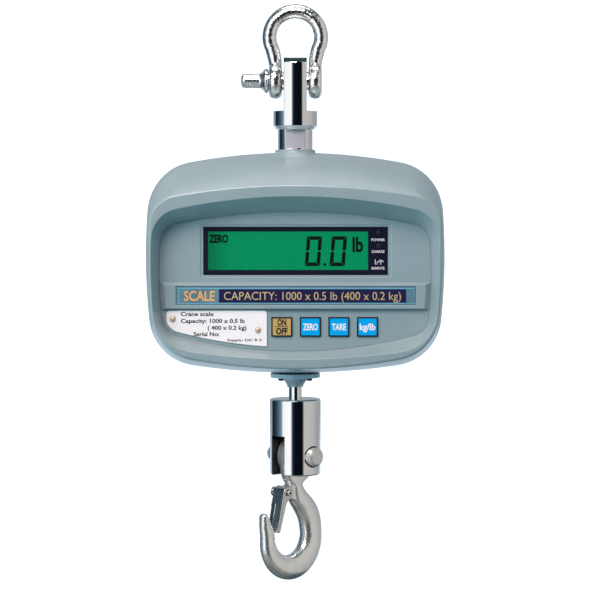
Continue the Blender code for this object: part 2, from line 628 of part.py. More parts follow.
def load_cell(finishes):
    bm = bmesh.new()
    block(bm, (-25.5, 25.5), (-9.5, 9.5), (CELL_BOTTOM, CELL_TOP))
    cell = add_object("load_cell", bm, finishes["alloy"])
    bm = bmesh.new()
    block(bm, (-40, 13), (-20, 20), (CELL_TOP - 18.4, CELL_TOP - 15.4))
    block(bm, (-13, 40), (-20, 20), (CELL_BOTTOM + 12.4, CELL_BOTTOM + 15.4))
    middle = (CELL_TOP + CELL_BOTTOM) / 2
    turned(bm, [(0, -20), (8.5, -20), (8.5, 20), (0, 20)], 20, along_y(0, middle))
    turned(bm, [(0, -130), (8.2, -130), (8.2, CELL_TOP - 14.0), (0, CELL_TOP - 14.0)], 20)
    turned(bm, [(0, -230), (6.0, -230), (6.0, CELL_BOTTOM + 10.6), (0, CELL_BOTTOM + 10.6)], 16)
    combine(cell, add_object("cell_cuts", bm, finishes["alloy"]), "DIFFERENCE")

    bm = bmesh.new()
    block(bm, (-15, 15), (-11.6, -9.8), (middle - 12, middle + 12))
    add_object("gauge_cover", bm, finishes["steel"])

    bm = bmesh.new()
    route = ((15.3, -10.7, middle - 5), (20, -10.7, middle - 5), (32, -13, middle - 12),
             (40, -20, middle - 26), (40, -26, middle - 30), (40, BOARD_BACK + GAP, middle - 30))
    path = smooth_path(route, 3)
    sweep(bm, path, [0.8] * len(path), 8)
    add_object("load_cell_lead", bm, finishes["rubber"])

    bm = bmesh.new()
    prism(bm, rounded_box(-46, 46, -20, 20, 4.0), COLUMN_BOTTOM - GAP, COLUMN_BOTTOM - GAP - 3.0)
    bm.transform(Matrix(((1, 0, 0, 0), (0, 0, 1, 0), (0, 1, 0, 0), (0, 0, 0, 1))))
    bracket = add_object("mounting_bracket", bm, finishes["steel"])
    bm = bmesh.new()
    turned(bm, [(0, -130), (8.2, -130), (8.2, -150), (0, -150)], 20)
    for x in (-POST_X, POST_X):
        hole = Matrix.Translation((x, POST_Y, 0))
        turned(bm, [(0, -130), (2.0, -130), (2.0, -150), (0, -150)], 8, hole)
    combine(bracket, add_object("bracket_holes", bm, finishes["steel"]), "DIFFERENCE")
    for name, x in (("bracket_screw_left", -POST_X), ("bracket_screw_right", POST_X)):
        turn = Matrix.Rotation(math.pi, 4, "X")
        place = Matrix.Translation((x, POST_Y, COLUMN_BOTTOM - 3.0 - 2 * GAP)) @ turn
        pan_screw(name, place, finishes["steel"], 3.4, 1.6, 13.0)


def hex_nut(name, top, bottom, across_flats, bore, finish):
    bm = bmesh.new()
    corner = across_flats / math.sqrt(3)
    turned(bm, [(0, top), (corner, top), (corner, bottom), (0, bottom)], 6)
    nut = add_object(name, bm, finish)
    bm = bmesh.new()
    turned(bm, [(0, top + 5), (bore, top + 5), (bore, bottom - 5), (0, bottom - 5)], 20)
    combine(nut, add_object(name + "_bore", bm, finish), "DIFFERENCE")


def lower_train(finishes):
    shaft_top = CELL_BOTTOM + 10.0
    bm = bmesh.new()
    turned(bm, [(0, shaft_top), (SHAFT_RADIUS, shaft_top), (SHAFT_RADIUS, -358.6),
                (SHAFT_RADIUS - 1, -359.6), (0, -359.6)], 24)
    add_object("lower_shaft", bm, finishes["chrome"])
    hex_nut("shaft_lock_nut", CELL_BOTTOM - GAP, CELL_BOTTOM - 7.3, 19.0, 5.95, finishes["steel"])
    hex_nut("swivel_nut", -349.4, -357.4, 17.0, 5.95, finishes["steel"])

    bm = bmesh.new()
    turned(bm, [(7.6, FLANGE_TOP), (21.6, FLANGE_TOP), (21.6, FLANGE_TOP - 3.1),
                (20.9, FLANGE_TOP - 3.8), (7.6, FLANGE_TOP - 3.8)], 32, ring=True)
    flange = add_object("bottom_flange", bm, finishes["casing"])
    bm = bmesh.new()
    for x, y in FLANGE_SCREWS:
        hole = Matrix.Translation((x, y, 0))
        turned(bm, [(0, -300), (1.9, -300), (1.9, -320), (0, -320)], 8, hole)
    combine(flange, add_object("flange_holes", bm, finishes["casing"]), "DIFFERENCE")
    for number, (x, y) in enumerate(FLANGE_SCREWS, start=1):
        turn = Matrix.Rotation(math.pi, 4, "X")
        place = Matrix.Translation((x, y, FLANGE_TOP - 3.8 - GAP)) @ turn
        pan_screw("flange_screw_%d" % number, place, finishes["black"], 2.5, 1.5, 8.0)

    bush_top = FLANGE_TOP - 3.8 - GAP
    bm = bmesh.new()
    cone = [(6.0, bush_top), (11.2, bush_top), (11.6, bush_top - 0.8), (9.4, bush_top - 3.0),
            (7.9, bush_top - 5.4), (7.1, bush_top - 8.0), (6.0, bush_top - 8.0)]
    turned(bm, cone, 20, ring=True)
    add_object("cone_bush", bm, finishes["alloy"])


# ---------------------------------------------------------------- shackle
def shackle(finishes):
    centre = (0.0, -BOW_INNER)
    radius = BOW_INNER + BAR_RADIUS
    eye_x = EYE_INNER_FACE + EYE_THICKNESS / 2
    right_leg = [(eye_x, -43.2), (eye_x + 0.1, -38.5), (eye_x + 0.8, -34.0)]
    points = right_leg + arc(centre, radius, -28, 208, 18)
    points += [(-x, z) for x, z in reversed(right_leg)]
    path = [(x, 0.0, z) for x, z in points]
    radii = [5.4, 5.7, 6.0] + [BAR_RADIUS] * (len(path) - 6) + [6.0, 5.7, 5.4]
    pivot = (0.0, 0.0, PIN_Z)
    bm = bmesh.new()
    sweep(bm, path, radii, 14)
    bow = add_object("shackle_bow", bm, finishes["forged"], pivot)
    bore = PIN_RADIUS + 0.35
    half = EYE_THICKNESS / 2
    eye = [(bore, -half), (12.8, -half), (14.9, -half + 2.1), (EYE_RADIUS, 0),
           (14.9, half - 2.1), (12.8, half), (bore, half)]
    bm = bmesh.new()
    for x in (-eye_x, eye_x):
        turned(bm, eye, 28, Matrix.Translation((x, 0, 0)) @ along_x(0, PIN_Z), ring=True)
    combine(bow, add_object("bow_eyes", bm, finishes["forged"], pivot), "UNION")

    collar = EYE_INNER_FACE + EYE_THICKNESS + GAP
    head = 6.2
    profile = [(0, 22.9), (7.2, 22.9), (PIN_RADIUS, 21.9), (PIN_RADIUS, -collar), (9.8, -collar),
               (10.6, -collar - 1.2), (10.6, -collar - 2.6), (9.4, -collar - 4.0),
               (head, -collar - 7.0), (head, -44.4), (5.2, -46.4), (0, -46.9)]
    bm = bmesh.new()
    turned(bm, profile, 28, along_x(0, PIN_Z))
    pin = add_object("shackle_pin", bm, finishes["forged"], pivot)
    # the head's two flats and its cross hole face forwards and down
    tilt = Matrix.Translation((0, 0, PIN_Z)) @ Matrix.Rotation(math.radians(-35), 4, "X")
    bm = bmesh.new()
    verts = block(bm, (-60, -32), (-10, 10), (4.4, 20))
    verts += block(bm, (-60, -32), (-10, 10), (-20, -4.4))
    bmesh.ops.transform(bm, matrix=tilt, verts=verts)
    combine(pin, add_object("pin_flats", bm, finishes["forged"], pivot), "DIFFERENCE")
    bm = bmesh.new()
    turned(bm, [(0, -12), (2.6, -12), (2.6, 12), (0, 12)], 14, tilt @ Matrix.Translation((-40, 0, 0)))
    combine(pin, add_object("pin_cross_hole", bm, finishes["forged"], pivot), "DIFFERENCE")


# ---------------------------------------------------------------- swivel clevis
def swivel(finishes):
    place = {"pivot": (0, 0, CLEVIS_Z), "turn": SWIVEL_TURN}
    bore = SHAFT_RADIUS + 0.45
    bm = bmesh.new()
    turned(bm, [(bore, SWIVEL_TOP), (SWIVEL_RADIUS - 1.2, SWIVEL_TOP), (SWIVEL_RADIUS, SWIVEL_TOP - 1.2),
                (SWIVEL_RADIUS, SWIVEL_BOTTOM + 1.2), (SWIVEL_RADIUS - 1.2, SWIVEL_BOTTOM),
                (NUT_BORE, SWIVEL_BOTTOM), (NUT_BORE, -343.0), (bore, -343.0)], 40, ring=True)
    body = add_object("swivel_clevis", bm, finishes["chrome"], **place)
    bm = bmesh.new()
    block(bm, (-40, 40), (-SLOT_HALF, SLOT_HALF), (-410, SLOT_TOP))
    combine(body, add_object("clevis_slot", bm, finishes["chrome"], **place), "DIFFERENCE")
    bm = bmesh.new()
    hole = CLEVIS_PIN_RADIUS + GAP
    turned(bm, [(0, -40), (hole, -40), (hole, 20.2), (9.4, 20.2), (9.4, 40), (0, 40)], 24,
           along_y(0, CLEVIS_Z))
    combine(body, add_object("clevis_bore", bm, finishes["chrome"], **place), "DIFFERENCE")

    bm = bmesh.new()
    turned(bm, [(6.1, -343.3), (11.1, -343.3), (11.1, -345.2), (10.2, -345.6), (10.2, -347.0),
                (11.1, -347.4), (11.1, -349.1), (6.1, -349.1)], 20, ring=True)
    add_object("thrust_bearing", bm, finishes["steel"], **place)

    pin = [(0, 27.6), (6.4, 27.6), (8.2, 26.0), (8.2, 20.5), (CLEVIS_PIN_RADIUS, 20.5),
           (CLEVIS_PIN_RADIUS, -22.9), (5.4, -22.9), (5.4, -24.4), (CLEVIS_PIN_RADIUS, -24.4),
           (CLEVIS_PIN_RADIUS, -28.7), (5.5, -29.5), (0, -29.5)]
    bm = bmesh.new()
    turned(bm, pin, 24, along_y(0, CLEVIS_Z))
    add_object("clevis_pin", bm, finishes["chrome"], **place)

    bm = bmesh.new()
    outline = arc((0, CLEVIS_Z), 8.8, 125, 415, 20) + arc((0, CLEVIS_Z), 5.7, 415, 125, 20)
    prism(bm, outline, -23.2, -24.1)
    add_object("retaining_ring", bm, finishes["steel"], **place)


# ---------------------------------------------------------------- hook
def hook_sections():
    """Inner and outer edge points, thickness and power, from the eye round to the tip.

    A power of 1 makes the section an ellipse; a smaller one squares it, as in the flat eye.
    """
    rows = [((16.0, -386.0), (-16.6, -386.0), 13.4, 0.6),
            ((15.6, -391.0), (-17.0, -391.0), 13.4, 0.6),
            ((14.7, -395.5), (-16.6, -395.5), 13.4, 0.6),
            ((13.0, -399.5), (-13.4, -399.5), 13.5, 0.65),
            ((10.8, -403.0), (-8.2, -402.8), 13.5, 0.8),
            ((7.9, -406.6), (-6.4, -405.9), 13.6, 1.0),
            ((7.6, -413.5), (-10.4, -411.0), 15.0, 1.0),
            ((5.2, -421.0), (-17.8, -417.5), 16.0, 1.0),
            ((-0.6, -428.6), (-25.0, -426.5), 16.5, 1.0),
            ((-5.8, -437.5), (-29.0, -437.5), 16.5, 1.0)]
    for angle in range(180, 361, 15):
        heading = math.radians(angle)
        ray = Vector((math.cos(heading), math.sin(heading)))
        start = Vector(BOWL_CENTRE)
        inner = start + ray * BOWL_RADIUS
        offset = start - Vector(BACK_CENTRE)
        reach = -offset.dot(ray)
        reach += math.sqrt(offset.dot(ray) ** 2 - offset.length_squared + BACK_RADIUS ** 2)
        outer = start + ray * reach
        swell = max(0.0, (angle - 270.0) / 90.0)
        rows.append((tuple(inner), tuple(outer), 16.5 - 4.5 * swell, 1.0))
    rows += [((28.0, -443.0), (41.6, -443.0), 11.4, 1.0),
             ((31.4, -436.6), (42.0, -437.4), 10.4, 1.0),
             ((34.8, -431.0), (42.0, -432.0), 9.0, 1.0),
             ((37.0, -428.0), (40.8, -428.4), 5.0, 1.0)]
    return rows


def hook(finishes):
    place = {"pivot": (0, 0, CLEVIS_Z), "turn": SWIVEL_TURN}
    loops = []
    for inner, outer, thickness, power in hook_sections():
        middle = ((inner[0] + outer[0]) / 2, (inner[1] + outer[1]) / 2)
        reach = ((outer[0] - inner[0]) / 2, (outer[1] - inner[1]) / 2)
        loop = []
        for k in range(14):
            angle = math.tau * k / 14
            across = math.copysign(abs(math.cos(angle)) ** power, math.cos(angle))
            out = math.copysign(abs(math.sin(angle)) ** power, math.sin(angle))
            loop.append((middle[0] + reach[0] * across, thickness / 2 * out,
                         middle[1] + reach[1] * across))
        loops.append(loop)
    bm = bmesh.new()
    skin(bm, loops)
    body = add_object("hook", bm, finishes["forged"], **place)

    bore = CLEVIS_PIN_RADIUS + GAP
    eye = [(bore, -6.8), (15.2, -6.8), (16.8, -5.2), (17.3, 0), (16.8, 5.2), (15.2, 6.8), (bore, 6.8)]
    bm = bmesh.new()
    turned(bm, eye, 28, along_y(0, CLEVIS_Z), ring=True)
    combine(body, add_object("hook_eye", bm, finishes["forged"], **place), "UNION")

    bm = bmesh.new()
    outline = [(3.0, -419.0), (3.0, -403.0)] + arc(LATCH_PIVOT, 4.3, 75, -80, 8)
    prism(bm, outline, -5.2, 5.2)
    combine(body, add_object("hook_lug", bm, finishes["forged"], **place), "UNION")
    bm = bmesh.new()
    turned(bm, [(0, -20), (2.3, -20), (2.3, 20), (0, 20)], 12, along_y(*LATCH_PIVOT))
    combine(body, add_object("lug_bore", bm, finishes["forged"], **place), "DIFFERENCE")

    latch_place = {"pivot": (LATCH_PIVOT[0], 0, LATCH_PIVOT[1]), "turn": SWIVEL_TURN}
    bm = bmesh.new()
    rivet = [(1.1, 9.0), (2.9, 8.8), (2.9, 7.7), (2.0, 7.7), (2.0, -12.4), (2.9, -12.6),
             (2.9, -13.4), (1.1, -13.4)]
    turned(bm, rivet, 14, along_y(*LATCH_PIVOT), ring=True)
    add_object("latch_rivet", bm, finishes["steel"], **latch_place)
    latch(finishes, latch_place)
    latch_spring(finishes, latch_place)


def latch(finishes, place):
    """A stamped channel: two ears on the rivet and a web that closes the mouth."""
    shape = arc(LATCH_PIVOT, 5.9, 160, 0, 8)
    shape += [(21.4, -416.0), (27.6, -444.0), (24.6, -444.6), (16.8, -420.0), (10.0, -415.0)]
    bm = bmesh.new()
    prism(bm, shape, -6.9, 6.9)
    body = add_object("latch", bm, finishes["steel"], **place)
    inside = [(0, -390), (16.5, -390), (19.1, -411.0), (20.0, -416.0), (27.3, -450.0), (0, -450)]
    bm = bmesh.new()
    prism(bm, inside, -5.6, 5.6)
    combine(body, add_object("latch_inside", bm, finishes["steel"], **place), "DIFFERENCE")
    bm = bmesh.new()
    turned(bm, [(0, -20), (2.3, -20), (2.3, 20), (0, 20)], 12, along_y(*LATCH_PIVOT))
    combine(body, add_object("latch_bore", bm, finishes["steel"], **place), "DIFFERENCE")


def latch_spring(finishes, place):
    """Torsion spring: a coil on the rivet, one leg on the latch, one on the hook."""
    x, z = LATCH_PIVOT
    radius = 3.9
    turns = 3.5
    path = [(x + 7.5, -7.6, z - 12.5), (x + 5.6, -7.6, z - 5.5)]
    steps = int(turns * 10)
    for k in range(steps + 1):
        angle = -math.radians(20) + math.tau * k / 10
        path.append((x + radius * math.cos(angle), -7.8 - 4.2 * k / steps, z + radius * math.sin(angle)))
    path += [(x - 5.5, -12.0, z - 3.5), (x - 8.5, -9.2, z - 9.0)]
    bm = bmesh.new()
    sweep(bm, path, [0.42] * len(path), 5)
    add_object("latch_spring", bm, finishes["steel"], **place)


# ---------------------------------------------------------------- assembly
def main():
    for old in list(bpy.data.objects):
        bpy.data.objects.remove(old)
    finishes = all_materials()
    front_housing(finishes["casing"])
    rear_cover(finishes["casing"])
    gaskets(finishes["rubber"])
    front_panel(finishes["panel"])
    panel_pieces(finishes)
    power_pieces(finishes)
    upper_eye(finishes["chrome"])
    load_cell(finishes)
    lower_train(finishes)
    shackle(finishes)
    swivel(finishes)
    hook(finishes)


main()
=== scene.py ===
"""Looks of the hanging crane scale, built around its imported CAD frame.

Pieces are in millimetres in the frame's axes: +Z up the load line, the display faces -Y, and
the origin is the inner crown of the shackle bow. piece() turns them to metres. The camera, the
lights and the stage are in metres from the start.
"""
import json
import math
from collections import namedtuple

import bmesh
import bpy
from mathutils import Matrix, Vector

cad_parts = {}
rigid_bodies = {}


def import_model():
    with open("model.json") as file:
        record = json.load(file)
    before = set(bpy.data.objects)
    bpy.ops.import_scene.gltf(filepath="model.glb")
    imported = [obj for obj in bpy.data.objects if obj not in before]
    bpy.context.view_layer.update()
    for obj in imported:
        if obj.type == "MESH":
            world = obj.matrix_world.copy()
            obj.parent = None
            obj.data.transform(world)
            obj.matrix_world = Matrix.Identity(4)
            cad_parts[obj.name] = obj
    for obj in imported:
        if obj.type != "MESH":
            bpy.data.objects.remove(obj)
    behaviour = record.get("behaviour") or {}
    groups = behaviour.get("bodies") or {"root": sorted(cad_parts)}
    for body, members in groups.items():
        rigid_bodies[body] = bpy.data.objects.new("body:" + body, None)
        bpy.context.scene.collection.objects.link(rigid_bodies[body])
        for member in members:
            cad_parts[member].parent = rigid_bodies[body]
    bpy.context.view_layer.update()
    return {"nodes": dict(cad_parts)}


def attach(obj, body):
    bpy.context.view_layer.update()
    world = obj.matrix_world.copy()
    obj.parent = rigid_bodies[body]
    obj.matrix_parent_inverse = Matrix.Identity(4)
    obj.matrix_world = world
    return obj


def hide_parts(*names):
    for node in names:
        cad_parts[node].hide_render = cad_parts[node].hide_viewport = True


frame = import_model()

MM = 0.001
NODES = frame["nodes"]

# Levels and depths that the pieces below are hung from
PIN_Z = -54.0
PIN_BORE = 8.35
EYE_X = 17.25
CLEVIS_Z = -379.5
CLEVIS_BORE = 6.65
SWIVEL_TURN = math.radians(-135)
BEZEL_Y = -63.0
PANEL_Y = -44.0
PANEL_BACK = -41.0
BACK_Y = 52.0
PAD_Y = 57.2
PARTING = 0.8
KEY_PITCH = 24.3
KEY_FIRST_X = -11.4
KEY_Z = -265.4
DOOR_Z = -250.5
DOOR_SCREWS_X = (-55.5, 55.5)
FLANGE_SCREWS_X = (-12.3, 12.3)
FLANGE_SCREW_Y = -11.7
SCREW_POINTS = ((-100.0, -158.0), (100.0, -158.0), (-103.0, -272.0), (103.0, -272.0))
JACK = (88.0, -232.0)
LATCH_PIVOT = (14.5, -411.0)
RIVET_BORE = 2.3
BOWL_CENTRE = (9.4, -448.5)
BOWL_RADIUS = 17.6
BACK_CENTRE = (5.5, -452.3)
BACK_RADIUS = 35.75
WINDOW = (-78.1, 78.7, -221.1, -180.4)
GREEN = (-74.3, 62.0, -217.0, -184.2)
BAR_FACE = ((-110.7, -229.7), (110.7, -229.7), (109.6, -249.7), (-109.6, -249.7))
BAR_FOOT = ((-115.3, -227.4), (115.3, -227.4), (113.7, -250.6), (-113.7, -250.6))
STRIP = (-100.8, 102.4, -246.3, -231.6)
LAMP_X = 71.1
LAMP_HEIGHTS = (-185.5, -196.6)
GLASS_Y = -43.0
LEGEND_Y = -45.83
STRIP_PRINT = (-46.90, -46.83)

Section = namedtuple("Section", "top bottom half_width wide_z crown side belly upper lower")
CREST = Section(-116.0, -307.4, 129.55, -207.5, 502.0, 502.0, 615.0, 44.0, 44.0)
BEZEL_OUTER = Section(-144.7, -300.1, 123.8, -196.6, 579.0, 741.0, 473.0, 26.0, 40.6)
BEZEL_INNER = Section(-154.8, -291.6, 121.7, -213.0, 472.0, 398.0, 624.0, 25.4, 34.6)
PANEL_EDGE = Section(-167.6, -286.1, 115.7, -220.1, 506.0, 300.0, 391.0, 17.0, 16.0)


# ---------------------------------------------------------------- camera and stage
def look_from(thing, target):
    aim = Vector(target) - thing.location
    thing.rotation_euler = aim.to_track_quat("-Z", "Y").to_euler()


def camera():
    """Level with the top of the display, two metres away, tipped down to the middle."""
    lens = bpy.data.cameras.new("camera")
    lens.sensor_width = 36.0
    lens.lens = 140.3
    made = bpy.data.objects.new("camera", lens)
    bpy.context.scene.collection.objects.link(made)
    made.location = (-0.0002, -2.0, -0.1702)
    look_from(made, (-0.0002, 0.0, -0.2398))
    bpy.context.scene.camera = made


def soft_light(name, place, target, size, power, colour):
    lamp = bpy.data.lights.new(name, "AREA")
    lamp.shape = "RECTANGLE"
    lamp.size = size[0]
    lamp.size_y = size[1]
    lamp.energy = power
    lamp.color = colour
    made = bpy.data.objects.new(name, lamp)
    bpy.context.scene.collection.objects.link(made)
    made.location = place
    made.visible_glossy = name == "edge"
    made.visible_diffuse = name != "edge"
    look_from(made, target)
    return made


def plain_material(name, colour, emission=0.0, roughness=0.9):
    made = bpy.data.materials.new(name)
    made.use_nodes = True
    shader = made.node_tree.nodes["Principled BSDF"]
    shader.inputs["Base Color"].default_value = (*colour, 1.0)
    shader.inputs["Roughness"].default_value = roughness
    shader.inputs["Specular IOR Level"].default_value = 0.0
    shader.inputs["Emission Color"].default_value = (*colour, 1.0)
    shader.inputs["Emission Strength"].default_value = emission
    return made


def stage_mesh(name, bm, finish, height=0.0):
    mesh = bpy.data.meshes.new(name)
    bm.to_mesh(mesh)
    bm.free()
    mesh.materials.append(finish)
    made = bpy.data.objects.new(name, mesh)
    made.location = (0.0, 0.0, height)
    bpy.context.scene.collection.objects.link(made)
    return made


def stage_sphere(name, radius, finish, camera_only):
    """A sphere that either the camera alone or polished surfaces alone can see."""
    bm = bmesh.new()
    bmesh.ops.create_icosphere(bm, subdivisions=5, radius=radius)
    made = stage_mesh(name, bm, finish)
    made.visible_camera = camera_only
    made.visible_glossy = not camera_only
    made.visible_diffuse = False
    made.visible_transmission = False
    made.visible_shadow = False


SURROUND = (
    # degrees round from the camera towards +X, and what shines from there
    (-180, (0.34, 0.39, 0.46)), (-131, (0.32, 0.37, 0.45)), (-126, (0.012, 0.025, 0.035)),
    (-104, (0.014, 0.03, 0.04)), (-84, (0.06, 0.12, 0.17)), (-64, (0.22, 0.34, 0.46)),
    (-57, (1.10, 1.11, 1.12)), (-21, (1.22, 1.22, 1.22)), (-14, (0.03, 0.08, 0.11)),
    (-5, (0.003, 0.005, 0.012)), (34, (0.003, 0.004, 0.006)), (41, (0.62, 0.60, 0.575)),
    (80, (0.58, 0.56, 0.54)), (120, (0.40, 0.40, 0.41)), (150, (0.36, 0.41, 0.47)),
    (180, (0.34, 0.39, 0.46)))


def surround():
    """A far sphere that only polished surfaces see: black and white flags all round, a
    white ceiling, and a floor that is pale in front and dark behind."""
    made = bpy.data.materials.new("surround")
    made.use_nodes = True
    made.cycles.emission_sampling = "NONE"
    tree = made.node_tree
    tree.nodes.clear()
    link = tree.links.new
    place = node(tree, "ShaderNodeTexCoord")
    split = node(tree, "ShaderNodeSeparateXYZ")
    link(place.outputs["Object"], split.inputs["Vector"])

    def sum_of(kind, first, second=None):
        step = tree.nodes.new("ShaderNodeMath")
        step.operation = kind
        for socket, value in zip(step.inputs, (first, second)):
            if isinstance(value, (int, float)):
                socket.default_value = value
            elif value is not None:
                link(value, socket)
        return step.outputs["Value"]

    def ease(source, low, high):
        step = node(tree, "ShaderNodeMapRange")
        step.interpolation_type = "SMOOTHSTEP"
        step.inputs["From Min"].default_value = low
        step.inputs["From Max"].default_value = high
        link(source, step.inputs["Value"])
        return step.outputs["Result"]

    def blend(share, first, second):
        step = tree.nodes.new("ShaderNodeMix")
        step.data_type = "RGBA"
        link(share, step.inputs["Factor"])
        for socket, value in ((step.inputs["A"], first), (step.inputs["B"], second)):
            if isinstance(value, tuple):
                socket.default_value = (*value, 1.0)
            else:
                link(value, socket)
        return step.outputs["Result"]

    x, y, z = (split.outputs[axis] for axis in "XYZ")
    forward = sum_of("MULTIPLY", y, -1.0)
    turn = sum_of("ARCTAN2", x, forward)
    share = sum_of("MULTIPLY_ADD", turn, 1.0 / math.tau)
    share.node.inputs[2].default_value = 0.5
    ramp = node(tree, "ShaderNodeValToRGB")
    stops = ramp.color_ramp.elements
    while len(stops) > 1:
        stops.remove(stops[-1])
    for number, (angle, colour) in enumerate(SURROUND):
        stop = stops[0] if number == 0 else stops.new(0.5 + angle / 360.0)
        stop.position = 0.5 + angle / 360.0
        stop.color = (*colour, 1.0)
    link(share, ramp.inputs["Fac"])
    level = sum_of("SQRT", sum_of("ADD", sum_of("MULTIPLY", x, x), sum_of("MULTIPLY", y, y)))
    rise = sum_of("ARCTAN2", z, level)

    def above(low, high):
        """0 below the low angle over the horizon and 1 over the high one, in degrees."""
        return ease(rise, math.radians(low), math.radians(high))

    floor = blend(ease(y, -1.5, 1.5), (0.26, 0.25, 0.23), (0.035, 0.045, 0.05))
    floor = blend(above(-66, -56), (0.10, 0.11, 0.12), floor)
    colour = blend(above(-38, -30), floor, ramp.outputs["Color"])
    colour = blend(above(40, 46), colour, (0.04, 0.07, 0.07))
    colour = blend(above(60, 67), colour, (1.6, 1.6, 1.6))
    behind = sum_of("MULTIPLY", ease(y, 4.5, 6.0), above(-30, -24))
    behind = sum_of("MULTIPLY", behind, above(-7.5, -9.5))
    colour = blend(behind, colour, (0.75, 0.87, 1.0))
    shine = tree.nodes.new("ShaderNodeEmission")
    link(colour, shine.inputs["Color"])
    out = tree.nodes.new("ShaderNodeOutputMaterial")
    link(shine.outputs["Emission"], out.inputs["Surface"])
    stage_sphere("surround", 7.0, made, camera_only=False)


# the floor lies below every view from under the scale, and shades nothing
FLOOR_RADIUS = 3.13
FLOOR_HEIGHT = -2.9
SKY = ((0.35, 0.80, 1.0), 0.34)
LIGHTS = (
    # name, place, size, watts, colour
    ("top", (-0.1, -0.25, 1.3), (1.4, 1.1), 5.0, (1.0, 0.75, 0.60)),
    ("high", (-0.3, -1.2, 1.15), (1.0, 0.8), 26.0, (1.0, 0.66, 0.63)),
    ("edge", (-0.3, -1.5, 1.0), (1.0, 0.7), 22.0, (1.0, 1.0, 1.0)),
    ("key", (-1.3, -1.5, 0.7), (1.0, 1.0), 22.5, (1.0, 1.0, 1.0)),
    ("left", (-1.9, -0.8, 0.1), (0.9, 1.2), 5.0, (1.0, 1.0, 1.0)),
    ("below", (-0.9, -0.1, -1.3), (1.0, 1.0), 9.0, (0.82, 0.89, 1.0)),
    ("right", (1.7, -0.2, -0.1), (0.8, 1.2), 4.0, (1.0, 1.0, 1.0)),
    ("rear", (0.5, 1.9, -0.1), (1.4, 1.4), 22.0, (1.0, 1.0, 1.0)))


def studio():
    """White backdrop, pale floor, area lights and the reflected surround."""
    scene = bpy.context.scene
    scene.world = scene.world or bpy.data.worlds.new("world")
    scene.world.use_nodes = True
    sky = scene.world.node_tree.nodes["Background"]
    sky.inputs["Color"].default_value = (*SKY[0], 1.0)
    sky.inputs["Strength"].default_value = SKY[1]
    scene.view_settings.view_transform = "Standard"
    bm = bmesh.new()
    bmesh.ops.create_circle(bm, cap_ends=True, segments=96, radius=FLOOR_RADIUS)
    floor = stage_mesh("floor", bm, plain_material("floor_pale", (0.86, 0.87, 0.88)), FLOOR_HEIGHT)
    floor.visible_diffuse = False
    floor.visible_glossy = False
    white = plain_material("backdrop_white", (1.0, 1.0, 1.0), 1.0)
    white.cycles.emission_sampling = "NONE"
    stage_sphere("backdrop", 9.0, white, camera_only=True)
    surround()
    for name, place, size, power, colour in LIGHTS:
        soft_light(name, place, (0.0, 0.0, -0.24), size, power, colour)


# ---------------------------------------------------------------- materials
def node(tree, kind, **values):
    made = tree.nodes.new(kind)
    for name, value in values.items():
        if name in made.inputs:
            made.inputs[name].default_value = value
        else:
            setattr(made, name.lower(), value)
    return made


def noise_on(tree, scale, stretch=(1.0, 1.0, 1.0), detail=3.0):
    """Noise in the piece's own axes: scale is in waves per metre."""
    place = node(tree, "ShaderNodeTexCoord")
    mapping = node(tree, "ShaderNodeMapping")
    mapping.inputs["Scale"].default_value = stretch
    made = node(tree, "ShaderNodeTexNoise", Scale=scale, Detail=detail)
    tree.links.new(place.outputs["Object"], mapping.inputs["Vector"])
    tree.links.new(mapping.outputs["Vector"], made.inputs["Vector"])
    return made


def remap(tree, source, low, high):
    made = node(tree, "ShaderNodeMapRange")
    made.inputs["From Min"].default_value = 0.3
    made.inputs["From Max"].default_value = 0.7
    made.inputs["To Min"].default_value = low
    made.inputs["To Max"].default_value = high
    tree.links.new(source, made.inputs["Value"])
    return made.outputs["Result"]


def surface(name, colour, roughness, metallic=0.0, vary=0.04, vary_scale=40.0,
            grain=900.0, bump=0.03, stretch=(1.0, 1.0, 1.0), spread=0.05, coat=0.0,
            shine=0.5):
    """A Principled finish with drifting colour, uneven roughness and a fine grain."""
    made = bpy.data.materials.new(name)
    made.use_nodes = True
    tree = made.node_tree
    shader = tree.nodes["Principled BSDF"]
    shader.inputs["Metallic"].default_value = metallic
    shader.inputs["Specular IOR Level"].default_value = shine
    shader.inputs["Coat Weight"].default_value = coat
    shader.inputs["Coat Roughness"].default_value = 0.15

    drift = noise_on(tree, vary_scale, detail=4.0)
    ramp = node(tree, "ShaderNodeValToRGB")
    ramp.color_ramp.elements[0].position = 0.3
    ramp.color_ramp.elements[1].position = 0.7
    ramp.color_ramp.elements[0].color = (*[c * (1 - vary) for c in colour], 1.0)
    ramp.color_ramp.elements[1].color = (*[min(1.0, c * (1 + vary)) for c in colour], 1.0)
    tree.links.new(drift.outputs["Fac"], ramp.inputs["Fac"])
    tree.links.new(ramp.outputs["Color"], shader.inputs["Base Color"])

    fine = noise_on(tree, grain, stretch)
    rough = remap(tree, fine.outputs["Fac"], roughness - spread, roughness + spread)
    tree.links.new(rough, shader.inputs["Roughness"])
    if bump:
        relief = node(tree, "ShaderNodeBump", Strength=bump, Distance=0.001)
        tree.links.new(fine.outputs["Fac"], relief.inputs["Height"])
        tree.links.new(relief.outputs["Normal"], shader.inputs["Normal"])
    return made


